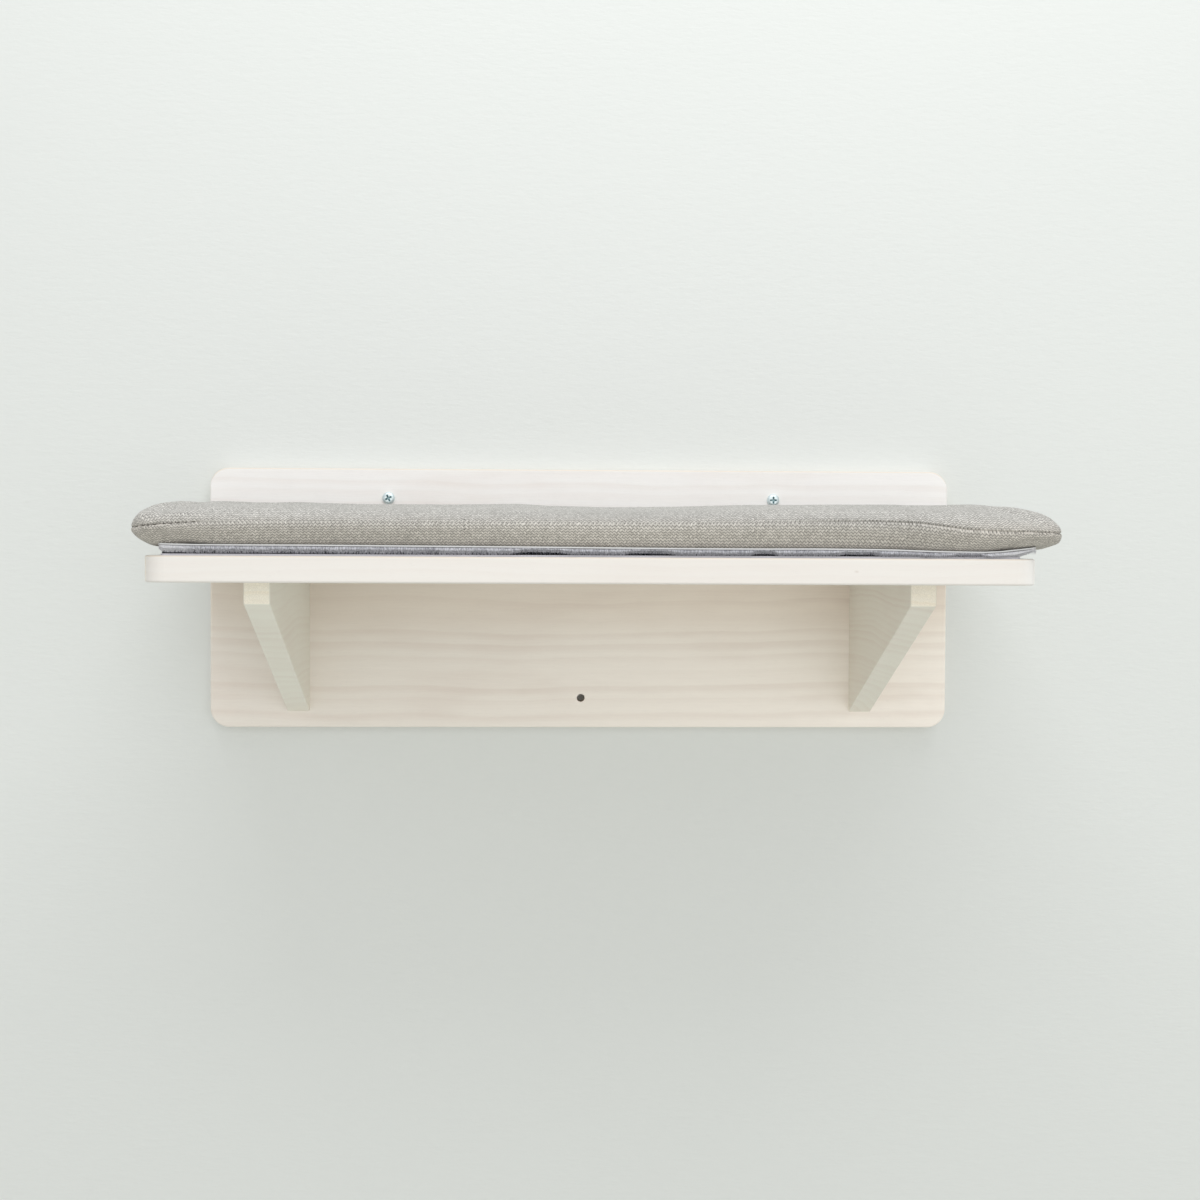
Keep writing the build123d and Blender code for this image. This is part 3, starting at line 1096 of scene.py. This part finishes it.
pucker *= np.exp(-((level - pucker_level) / pucker_spread) ** 2)
points -= rounded * (seam_depth * pinch - pucker_height * pucker)[:, None]
rumple = np.array([
    noise.noise(Vector((x * 9.0, y * 12.0, 4.0))) + 0.5 * noise.noise(Vector((x * 24, y * 30, 9)))
    for x, y, z in points
])
upwards = np.clip(flat_offset / crown_reach, 0, 1)
downwards = np.clip(-flat_offset / crown_reach, 0, 1)
near_seam = np.clip(1 - (flat_offset / seam_reach) ** 2, 0, 1)
points[:, 2] += drawn(SEAM_STATIONS, points[:, 0]) * near_seam
points[:, 2] += upwards * (drawn(TOP_STATIONS, points[:, 0]) + rumple_height * rumple)
points[:, 2] += downwards * drawn(UNDER_STATIONS, points[:, 0])
set_points(pad, points)
print("seam ring:", int(seam_ring.sum()), "points")
print("pad, mm:", [round(1000 * v, 1) for v in (*points.min(0), *points.max(0))])

# %% [markdown]
# ### Its own weave map
# A weave follows the cloth, not the room. The pad gets a UV map in metres: on the flat it is
# just x and y, and over the edges it runs outwards by the true length of the profile. The rows
# of the weave then keep their height along the front, as on the real cover.

# %% Weave map
flat_inset = 34 * MM


def extra_length(profile, depth, height):
    """How much longer the cloth is than its shadow, from the flat out to a point of the edge."""
    steps = np.linspace(0, flat_inset, 200)
    rise = np.gradient(drawn(profile, steps), steps)
    slant = np.hypot(1, rise) - 1
    after = np.append(np.cumsum(slant[::-1])[::-1][1:], 0) * (steps[1] - steps[0])
    edge = np.maximum(depth, least_distance)
    brink = drawn(profile, edge)
    return np.interp(edge, steps, after) + np.where(
        depth < least_distance, np.maximum(0, brink - height), 0
    )


inner_low = np.array(cushion_low)[:2] + flat_inset
inner_high = np.array(cushion_high)[:2] - flat_inset
foot = np.clip(points[:, :2], inner_low, inner_high)
out = points[:, :2] - foot
reach = np.linalg.norm(out, axis=1)
beyond = out / np.maximum(reach, 1e-9)[:, None]
depth = edge_distances(seam_edges(flat_pad, seam_height), flat_points)
maps = {
    way: foot + beyond * (reach + extra_length(profile, depth, way * flat_offset))[:, None]
    for way, profile in ((1, UPPER_PROFILE), (-1, LOWER_PROFILE))
}
layer = pad.data.uv_layers.new(name="weave")
for face in pad.data.polygons:
    inner = [i for i in face.vertices if not seam_ring[i]]
    way = 1 if flat_offset[inner].mean() > 0 else -1
    for loop, vertex in zip(face.loop_indices, face.vertices):
        layer.data[loop].uv = maps[way][vertex]
print("weave map on", len(pad.data.polygons), "faces")


# %% Covers
def half_of(name, keep_top):
    """Keeps one side of the seam ring of a copy of the pad."""
    cover = copy_of(pad, name)
    edit(cover)
    shape = bmesh.from_edit_mesh(cover.data)
    for face in shape.faces:
        inner = [v.index for v in face.verts if not seam_ring[v.index]]
        is_top = flat_offset[inner].mean() > 0
        face.select_set(bool(is_top != keep_top))
    bmesh.update_edit_mesh(cover.data)
    bpy.ops.mesh.delete(type="FACE")
    leave()
    return cover


cloth_thickness = 0.6 * MM
upper = half_of("cushion_upper_panel", True)
lower = half_of("cushion_lower_panel", False)
for cover in (upper, lower):
    use_modifier(cover, "SOLIDIFY", thickness=cloth_thickness, offset=-1.0)
    smooth(cover, 75)
    print(cover.name, len(cover.data.polygons), "faces")

# %% [markdown]
# ### The cloth
# The cover is a coarse weave whose rows run in a fine zigzag. The pattern is built from the map:
# first the fold of the zigzag, then a row that the fold lifts and lowers, then a place within the
# row and the number of its yarn. The tones differ only a little from yarn to yarn, because free
# chance would gather into blotches, and the gaps between the rows are lower and painted dark as
# shade. Near the shelf the yarns are a touch warmer, as painted bounce light from the wood. Along
# the middle of the front the cover has painted light below the seam and painted shade just above
# it, which evens out the fall from its lit top to its shaded underside.

# %% Woven cloth
# The second yarn of each pair is the same yarn warmed: painted bounce light from the shelf
YARN_LIGHT, YARN_LIGHT_BOUNCE = (0.79, 0.772, 0.738), (0.79, 0.745, 0.676)
YARN_DARK, YARN_DARK_BOUNCE = (0.314, 0.303, 0.282), (0.314, 0.2925, 0.2585)
# The gaps between the rows are painted dark as shade
YARN_GAP_SHADE = (0.095, 0.091, 0.081)
row_pitch = 2.2 * MM
fold_pitch = 2.6 * MM
fold_height = 0.6
middle_reach = 0.20


def woven_cloth(name):
    finish = Finish(name)
    across, along = finish.place("UV")[:2]
    z = finish.place()[2]
    below = 1 - z.step(0.050, 0.066)
    over_seam = z.step(0.057, 0.061) * (1 - z.step(0.064, 0.069))
    light = finish.blend(below, YARN_LIGHT, YARN_LIGHT_BOUNCE)
    dark = finish.blend(below, YARN_DARK, YARN_DARK_BOUNCE)
    wobble = finish.noise(finish.point(across, along), 200.0, 2.0) - 0.5
    fold_place = (across + 0.0028 * wobble) / fold_pitch
    fold = abs(fold_place.fraction() - 0.5) * 2 - 0.5
    row_place = (along + 0.0016 * wobble) / row_pitch + fold_height * fold
    row = row_place.floor()
    in_row = row_place.fraction() - 0.5
    yarn = (fold_place * 2).floor()
    in_yarn = (fold_place * 2).fraction() - 0.5
    roundness = (1 - 1.2 * in_yarn * in_yarn).most(0) * (1 - 4.0 * in_row * in_row).most(0)
    height = roundness.root()
    parity = ((yarn + row) * 0.5).fraction() * 2
    tone = 0.18 + 0.44 * finish.speckle(finish.point(row, yarn, 2.0)) + 0.20 * parity
    fuzz = finish.noise(finish.point(across, along), 2600.0, 2.0)
    broad = finish.noise(finish.point(across, along), 22.0, 2.0)
    colour = finish.blend(tone * 0.8 + 0.2 * fuzz, dark, light)
    colour = finish.blend((1 - height.step(0.15, 0.95)) * 0.9, colour, YARN_GAP_SHADE)
    # Along the middle of the front: painted light below the seam and painted shade just above it
    near_middle = 1 - (abs(across - 0.02) / middle_reach).least(1)
    evened = near_middle * (0.03 + 0.13 * below - 0.11 * over_seam)
    colour = finish.shade(colour, 0.92 + 0.16 * fuzz + 0.08 * (broad - 0.5) + evened)
    return finish.surface(
        Base_Color=colour,
        Roughness=0.86 + 0.1 * fuzz,
        Normal=finish.bump(height + 0.25 * fuzz, 0.00045, 0.8),
        Sheen_Weight=0.2,
        Sheen_Roughness=0.5,
        Sheen_Tint=(0.9, 0.9, 0.88, 1.0),
        Specular_IOR_Level=0.2,
    )


cover_cloth = woven_cloth("cover_cloth")
for cover, node in ((upper, "cushion_top_cover"), (lower, "cushion_bottom_cover")):
    paint(cover, cover_cloth)
    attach(cover, "cushion")
    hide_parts(node)

# %% [markdown]
# ### Filling and stitches
# The filling is the same pad, one cloth thickness further in, so that it supports both covers
# from inside. Short stitches of dark thread lie in the seam. One stitch is modelled, and the
# others are copies along the ring, each turned the way the seam runs. At the left tip they lie
# proud and short, and elsewhere they are long and sunk into the seam.

# %% Filling
WADDING_WHITE = (0.84, 0.84, 0.82)
filling_gap = 0.4 * MM


def wadding():
    finish = Finish("wadding")
    x, y, z = finish.place()
    tufts = finish.noise(finish.point(x, y, z), 160.0, 4.0, 0.7)
    return finish.surface(
        Base_Color=finish.shade(WADDING_WHITE, 0.9 + 0.15 * tufts),
        Roughness=0.9 + 0.08 * tufts,
        Normal=finish.bump(tufts, 0.002, 0.8),
    )


filling = copy_of(pad, "polyester_filling")
points = points_of(filling)
normals = np.array([v.normal for v in filling.data.vertices])
set_points(filling, points - normals * (cloth_thickness + filling_gap))
paint(filling, wadding())
smooth(filling, 60)
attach(filling, "cushion")
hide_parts("cushion_filling")

# %% Stitches
stitch_pitch = 4.2 * MM
stitch_length = 3.0 * MM
stitch_radius = 0.40 * MM
middle_share, end_share, end_taper = 0.6, 0.2, 0.35
tip_margin = 16 * MM
# How many radii a stitch lies proud, and how many times its length it has
TIP_STITCH, SUNK_STITCH = (0.9, 0.8), (-0.8, 1.45)
THREAD_DARK = (0.11, 0.10, 0.085)

points = points_of(pad)
around = np.arctan2(points[:, 1] - cushion_middle.y, points[:, 0] - cushion_middle.x)
ring = sorted(np.nonzero(seam_ring)[0], key=lambda i: around[i])
ring_points = [Vector(points[i]) for i in ring]
ring_normals = [pad.data.vertices[i].normal.copy() for i in ring]
print("seam ring in order:", len(ring))

bpy.ops.mesh.primitive_cylinder_add(
    vertices=6, radius=stitch_radius, depth=middle_share * stitch_length
)
stitch = bpy.context.object
stitch.name = "stitch"
for way in (1, -1):
    edit(stitch)
    select_faces(stitch, lambda middle, normal: normal.z * way > 0.9)
    bpy.ops.mesh.extrude_region_move(
        TRANSFORM_OT_translate={"value": (0, 0, way * end_share * stitch_length)}
    )
    bpy.ops.transform.resize(value=(end_taper, end_taper, 1))
    leave()
for vertex in stitch.data.vertices:
    vertex.co.x -= stitch_radius * (2 * vertex.co.z / stitch_length) ** 2

copies = []
since = 0.0
for index in range(len(ring_points)):
    here, there = ring_points[index], ring_points[(index + 1) % len(ring_points)]
    since += (there - here).length
    if since < stitch_pitch:
        continue
    since = 0.0
    run = (there - here).normalized()
    normal = ring_normals[index]
    normal = (normal - run * normal.dot(run)).normalized()
    side_way = run.cross(normal)
    turn = Matrix((normal, side_way, run)).transposed().to_4x4()
    one = stitch.data.copy()
    at_tip = here.x < thread_places[0] - tip_margin
    proud, longer = TIP_STITCH if at_tip else SUNK_STITCH
    one.transform(
        Matrix.Translation(here + normal * proud * stitch_radius)
        @ turn @ Matrix.Diagonal((1, 1, longer, 1))
    )
    copies.append(one)
gathered = bmesh.new()
for one in copies:
    gathered.from_mesh(one)
    bpy.data.meshes.remove(one)
stitches_mesh = bpy.data.meshes.new("seam_stitches")
gathered.to_mesh(stitches_mesh)
gathered.free()
bpy.data.objects.remove(stitch)
stitches = bpy.data.objects.new("seam_stitches", stitches_mesh)
scene.collection.objects.link(stitches)
smooth(stitches, 60)


def sewing_thread():
    finish = Finish("sewing_thread")
    x, y, z = finish.place()
    twist = finish.noise(finish.point(x * 2500.0, y * 2500.0, z * 2500.0), 1.0, 1.0)
    return finish.surface(
        Base_Color=finish.shade(THREAD_DARK, 0.7 + 0.6 * twist),
        Roughness=0.7 + 0.1 * twist,
        Normal=finish.bump(twist, 0.0001, 0.6),
    )


paint(stitches, sewing_thread())
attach(stitches, "cushion")
print("stitches:", len(copies))

# %% [markdown]
# ## Hook-and-loop tape
# Two hook tapes are stuck to the shelf, and two loop tapes are sewn under the cushion. From the
# front the pair shows as a dark gap a few millimetres high: upright hooks at the bottom, a
# lavender-grey fleece above them, and the pale woven edge of the loop tape on top. Particles
# could make both, but they leave no mesh behind. Instead one hook is modelled and set out in rows
# by Array modifiers, and the fleece is a remeshed strip with a fringe of short bent fibres.

# %% Tape finishes
PALE_GROUND = (0.74, 0.74, 0.755)


def tape_weave(name, colour):
    """Tightly woven nylon ribbon."""
    finish = Finish(name)
    x, y, z = finish.place()
    ribs = (x / (0.7 * MM) * 2 * math.pi).cosine() * 0.5 + 0.5
    picks = (y / (0.5 * MM) * 2 * math.pi).cosine() * 0.5 + 0.5
    worn = finish.noise(finish.point(x, y, z), 180.0, 3.0)
    weave = ribs * picks
    return finish.surface(
        Base_Color=finish.shade(colour, 0.82 + 0.22 * weave + 0.12 * (worn - 0.5)),
        Roughness=0.62 + 0.2 * worn,
        Normal=finish.bump(weave, 0.00015, 0.6),
    )


def nylon(name, dark, light, thin_ends=0.0):
    """Fine nylon fibres that differ in tone. With thin_ends the pale ground shows between them
    near both ends of the tape."""
    finish = Finish(name)
    x, y, z = finish.place()
    lots = finish.noise(finish.point(x * 1500.0, y * 700.0, z * 450.0), 1.0, 2.0)
    broad = finish.noise(finish.point(x, y, z), 60.0, 2.0)
    tone = finish.blend(0.75 * lots.step(0.32, 0.68) + 0.25 * broad.step(0.3, 0.7), dark, light)
    if thin_ends:
        tone = finish.blend(thin_ends * abs(x).step(0.258, 0.286), tone, PALE_GROUND)
    return finish.surface(
        Base_Color=tone,
        Roughness=0.55 + 0.25 * lots,
        Normal=finish.bump(lots, 0.0004, 0.6),
    )


hook_ribbon = tape_weave("hook_ribbon", (0.66, 0.65, 0.70))
# The hooks are near black, painting the shade in the gap between the two tapes
shaded_hook_nylon = nylon("shaded_hook_nylon", (0.02, 0.02, 0.025), (0.12, 0.12, 0.14))
loop_ribbon = tape_weave("loop_ribbon", (0.76, 0.76, 0.76))
fleece = nylon("fleece", (0.20, 0.20, 0.224), (0.59, 0.59, 0.63), 0.6)

# %% Tape strips
def strip(name, low, high, corner):
    """A ribbon with rounded ends, from its box."""
    middle = (Vector(low) + Vector(high)) / 2
    bpy.ops.mesh.primitive_cube_add(size=1, location=middle)
    ribbon = bpy.context.object
    ribbon.name = name
    ribbon.scale = Vector(high) - Vector(low)
    apply_place(ribbon)
    edit(ribbon, "EDGE")
    shape = bmesh.from_edit_mesh(ribbon.data)
    for edge in shape.edges:
        a, b = edge.verts
        edge.select_set(abs(a.co.z - b.co.z) > 0.5 * (high[2] - low[2]))
    bmesh.update_edit_mesh(ribbon.data)
    bpy.ops.mesh.bevel(offset=corner, segments=5)
    leave()
    return ribbon


def netted(piece, step):
    """Cuts a strip across its length into steps, so that it can follow a bend."""
    low = min(v.co.x for v in piece.data.vertices)
    high = max(v.co.x for v in piece.data.vertices)
    edit(piece)
    for number in range(1, int((high - low) / step)):
        bpy.ops.mesh.select_all(action="SELECT")
        bpy.ops.mesh.bisect(plane_co=(low + number * step, 0, 0), plane_no=(1, 0, 0))
    leave()


# %% Hooks
HOOK_BENDS = ((0.4, 0.1, 0.9), (0.25, 0.5, 0.85), (0.05, 0.8, 0.8), (-0.18, 0.45, 0.7))
hook_base = 1.2 * MM
hook_height = 2.9 * MM
hook_radius, hook_stem = 0.33 * MM, 0.3
hook_pitch = Vector((2.5, 1.75)) * MM
hook_lean = 0.42 * MM
hook_start, hook_spare = (1.5 * MM, 1.0 * MM), (3 * MM, 1.5 * MM)
pressed_share, pressed_reach = 0.85, 18 * MM


def one_hook(name, low):
    """A stem that leans over in four bends, in the first corner of its ribbon."""
    bpy.ops.mesh.primitive_cylinder_add(
        vertices=4, radius=hook_radius, depth=hook_stem * hook_height,
        location=(
            low.x + hook_start[0],
            low.y + hook_start[1],
            low.z + hook_base + hook_stem / 2 * hook_height,
        ),
    )
    hook = bpy.context.object
    hook.name = name
    apply_place(hook)
    edit(hook)
    select_faces(hook, lambda middle, normal: normal.z > 0.9)
    for rise, aside, size in HOOK_BENDS:
        bpy.ops.mesh.extrude_region_move(
            TRANSFORM_OT_translate={"value": (aside * hook_lean, 0, rise * hook_height)}
        )
        bpy.ops.transform.resize(value=(size, size, size))
    leave()
    return hook


def hook_field(name, low, high, chance):
    """Rows of one hook, each bent and lowered by chance, and pressed flat at the right end."""
    field = one_hook(name, low)
    columns = int((high.x - low.x - hook_spare[0]) / hook_pitch.x)
    rows = int((high.y - low.y - hook_spare[1]) / hook_pitch.y)
    for count, step in ((rows, (0, hook_pitch.y, 0)), (columns, (hook_pitch.x, 0, 0))):
        use_modifier(
            field, "ARRAY", count=count, use_relative_offset=False, use_constant_offset=True,
            constant_offset_displace=step,
        )
    points = points_of(field)
    per_hook = len(points) // (rows * columns)
    for number in range(rows * columns):
        part = points[number * per_hook : (number + 1) * per_hook]
        tall = (part[:, 2] - low.z - hook_base) / hook_height
        near_end = smooth_step((high.x - part[:, 0].mean()) / pressed_reach)
        part[:, 2] -= tall * (pressed_share - pressed_share * near_end) * hook_height
        part[:, 0] += tall * chance.uniform(-1.2, 1.2) * MM + chance.uniform(-0.6, 0.6) * MM
        part[:, 1] += tall * chance.uniform(-0.30, 0.30) * MM + chance.uniform(-0.3, 0.3) * MM
        part[:, 2] -= tall * chance.uniform(0.0, 0.3) * hook_height
    set_points(field, points)
    print(name, rows * columns, "hooks", len(field.data.polygons), "faces")
    return field


# %% Hook tapes
for end in ("front", "rear"):
    low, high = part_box(f"{end}_hook_tape")
    ribbon = strip(f"{end}_hook_ribbon", low, (high.x, high.y, low.z + hook_base), 3 * MM)
    hook = hook_field(f"{end}_hook_field", low, high, random.Random(f"{end} hooks"))
    paint(ribbon, hook_ribbon)
    paint(hook, shaded_hook_nylon)
    smooth(hook, 50)
    for piece in (ribbon, hook):
        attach(piece, "wall_unit")
    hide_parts(f"{end}_hook_tape")

# %% [markdown]
# ### Fleece
# The fleece under the ribbon hangs in a hem that is short at its front edge, and shorter still
# in the gaps where the real pile is pulled out. The fringe's fibres are longer there, fewer and
# more curled. Both follow the cushion's underside, and the ribbon's front edge curls up a little.

# %% Pile and lift
loop_base = 0.65 * MM
ribbon_lip = Vector((0, -2.8, 0.30)) * MM
lip_rise, lip_hinge, lip_run, lip_fade = 0.6 * MM, 2 * MM, 4 * MM, 1.2 * MM
lift_reach = 30 * MM
fleece_fall = 4.4 * MM
front_hem = 0.2 * MM
hem_slope = 0.8 * MM
tuft_reach = 2.2 * MM
tuft_radius = 0.17 * MM
PILE_GAPS = ((-58, -14), (17, 57), (104, 124), (161, 195), (235, 268))
FIBRE_COUNTS = {"front": 6500, "rear": 3000}


def pile_depth(x):
    """How much of the full pile hangs down at a place along the tape, from 0 to 1."""
    keep = 1.0
    for first, last in PILE_GAPS:
        middle, half = (first + last) / 2 * MM, (last - first) / 2 * MM
        inside = 1 - min(1, abs(x - middle) / half)
        keep = min(keep, 1 - 0.75 * min(1, 2.2 * inside))
    return keep * (0.85 + 0.3 * noise.noise(Vector((x * 60, 3, 1))))


def end_fade(x, low, high):
    """The pile thins out towards both ends, and sooner at the right."""
    from_left = smooth_step(0.25 + (x - low.x) / (6 * MM))
    from_right = smooth_step(0.1 + (high.x - x) / (18 * MM))
    return float(from_left * from_right)


def lifted(x, low, high):
    """The tape follows the cushion's underside, and its right end leaves the shelf."""
    right = max(0.0, x - (high.x - lift_reach)) / lift_reach
    left = max(0.0, low.x + lift_reach - x) / lift_reach
    return float(drawn(UNDER_STATIONS, x)) + (1.5 * right**2 + 0.7 * left**2) * MM


def hem(pile):
    """The share of the fleece's fall that is left at its front edge."""
    return 0.10 + 0.44 * pile


# %% Fleece and fringe
def fleece_body(name, low, high):
    """A remeshed strip whose underside rises and falls with the pile."""
    top = high.z - loop_base
    body = strip(
        name,
        (low.x + 0.4 * MM, low.y + 0.93 * ribbon_lip.y, top - fleece_fall),
        (high.x - 0.4 * MM, high.y - 0.3 * MM, top + 0.02 * MM),
        4 * MM,
    )
    use_modifier(body, "REMESH", mode="VOXEL", voxel_size=0.9 * MM)
    points = points_of(body)
    for index, (x, y, z) in enumerate(points):
        hang = (top - z) / fleece_fall
        lumps = noise.noise(Vector((x * 700, y * 700, z * 700)))
        inside = smooth_step((y - low.y - front_hem) / hem_slope)
        pile = pile_depth(x) * end_fade(x, low, high)
        keep = hem(pile) * (1 - inside) + (0.35 + 0.65 * min(1, 1.2 * pile)) * inside
        points[index, 2] = top - (top - z) * keep
        points[index, 2] += 0.45 * MM * lumps * hang * (1 - 0.7 * inside)
        points[index, 1] += 0.35 * MM * noise.noise(Vector((x * 600, z * 900, 7)))
    set_points(body, points)
    return body


def bent_fibre(fringe, root, fall, thick, heading, curl, low, high):
    """Adds one fibre: four three-cornered rings along a bend, closed at both ends."""
    previous_ring = None
    for knot in range(4):
        t = knot / 3
        centre = Vector((
            root[0] + curl * math.cos(heading) * t * t,
            root[1] + 0.4 * curl * math.sin(heading) * t * t - 0.12 * MM * t,
            root[2] - fall * t * (1 - 0.25 * t),
        ))
        centre.z += lifted(centre.x, low, high)
        size = thick * (1 - 0.6 * t)
        current_ring = [
            fringe.verts.new(centre + Vector((math.cos(a) * size, math.sin(a) * size, 0)))
            for a in (0.0, 2.1, 4.2)
        ]
        if previous_ring:
            for i in range(3):
                j = (i + 1) % 3
                fringe.faces.new(
                    (previous_ring[i], current_ring[i], current_ring[j], previous_ring[j])
                )
        else:
            fringe.faces.new(current_ring)
        previous_ring = current_ring
    fringe.faces.new(previous_ring[::-1])


def fringe_of(name, count, low, high, chance):
    """Fibres along the fleece's front edge, fewer in the gaps and towards the ends."""
    fringe = bmesh.new()
    for number in range(count):
        x = chance.uniform(low.x + 0.6 * MM, high.x - 0.6 * MM)
        y = low.y + chance.uniform(-2.6, 0.4) * MM
        depth = pile_depth(x)
        if depth < 0.6 and chance.random() < 0.55:
            continue
        if chance.random() > end_fade(x, low, high) + 0.2:
            continue
        start_z = high.z - loop_base - hem(depth) * fleece_fall * chance.uniform(0.3, 0.95)
        fall = tuft_reach * (1.6 - 0.6 * depth) * chance.uniform(0.5, 1.0)
        thick = tuft_radius * chance.uniform(0.6, 1.1)
        heading = chance.uniform(0, 2 * math.pi)
        curl = chance.uniform(0.3, 1.0) * (1.8 - 0.8 * depth) * MM
        bent_fibre(fringe, (x, y, start_z), fall, thick, heading, curl, low, high)
    bmesh.ops.recalc_face_normals(fringe, faces=fringe.faces)
    fibre_mesh = bpy.data.meshes.new(name)
    fringe.to_mesh(fibre_mesh)
    fringe.free()
    fibres = bpy.data.objects.new(name, fibre_mesh)
    scene.collection.objects.link(fibres)
    return fibres


# %% Loop tapes
for end in ("front", "rear"):
    low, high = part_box(f"{end}_loop_tape")
    ribbon = strip(
        f"{end}_loop_ribbon", (low.x, low.y + ribbon_lip.y, high.z - loop_base),
        (high.x, high.y, high.z + ribbon_lip.z), 5 * MM,
    )
    netted(ribbon, 12 * MM)
    body = fleece_body(f"{end}_loop_fleece", low, high)
    chance = random.Random(f"{end} fibres")
    fibres = fringe_of(f"{end}_loop_fibres", FIBRE_COUNTS[end], low, high, chance)
    for piece in (ribbon, body):
        points = points_of(piece)
        at_top = np.clip(1 - (high.z - loop_base - points[:, 2]) / lip_fade, 0, 1)
        at_lip = np.clip((low.y + lip_hinge - points[:, 1]) / lip_run, 0, 1)
        points[:, 2] += at_top * lip_rise * at_lip
        points[:, 2] += np.array([lifted(x, low, high) for x in points[:, 0]])
        set_points(piece, points)
    paint(ribbon, loop_ribbon)
    paint(body, fleece)
    paint(fibres, fleece)
    smooth(body, 60)
    smooth(fibres, 60)
    for piece in (ribbon, body, fibres):
        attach(piece, "cushion")
    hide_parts(f"{end}_loop_tape")
    print(body.name, len(body.data.polygons), "faces;", fibres.name, len(fibres.data.polygons))

# %% [markdown]
# ## Clearing up
# The pattern pieces are removed, and every piece rides on its body.

# %% Finish
bpy.data.objects.remove(pad)
bpy.data.objects.remove(flat_pad)
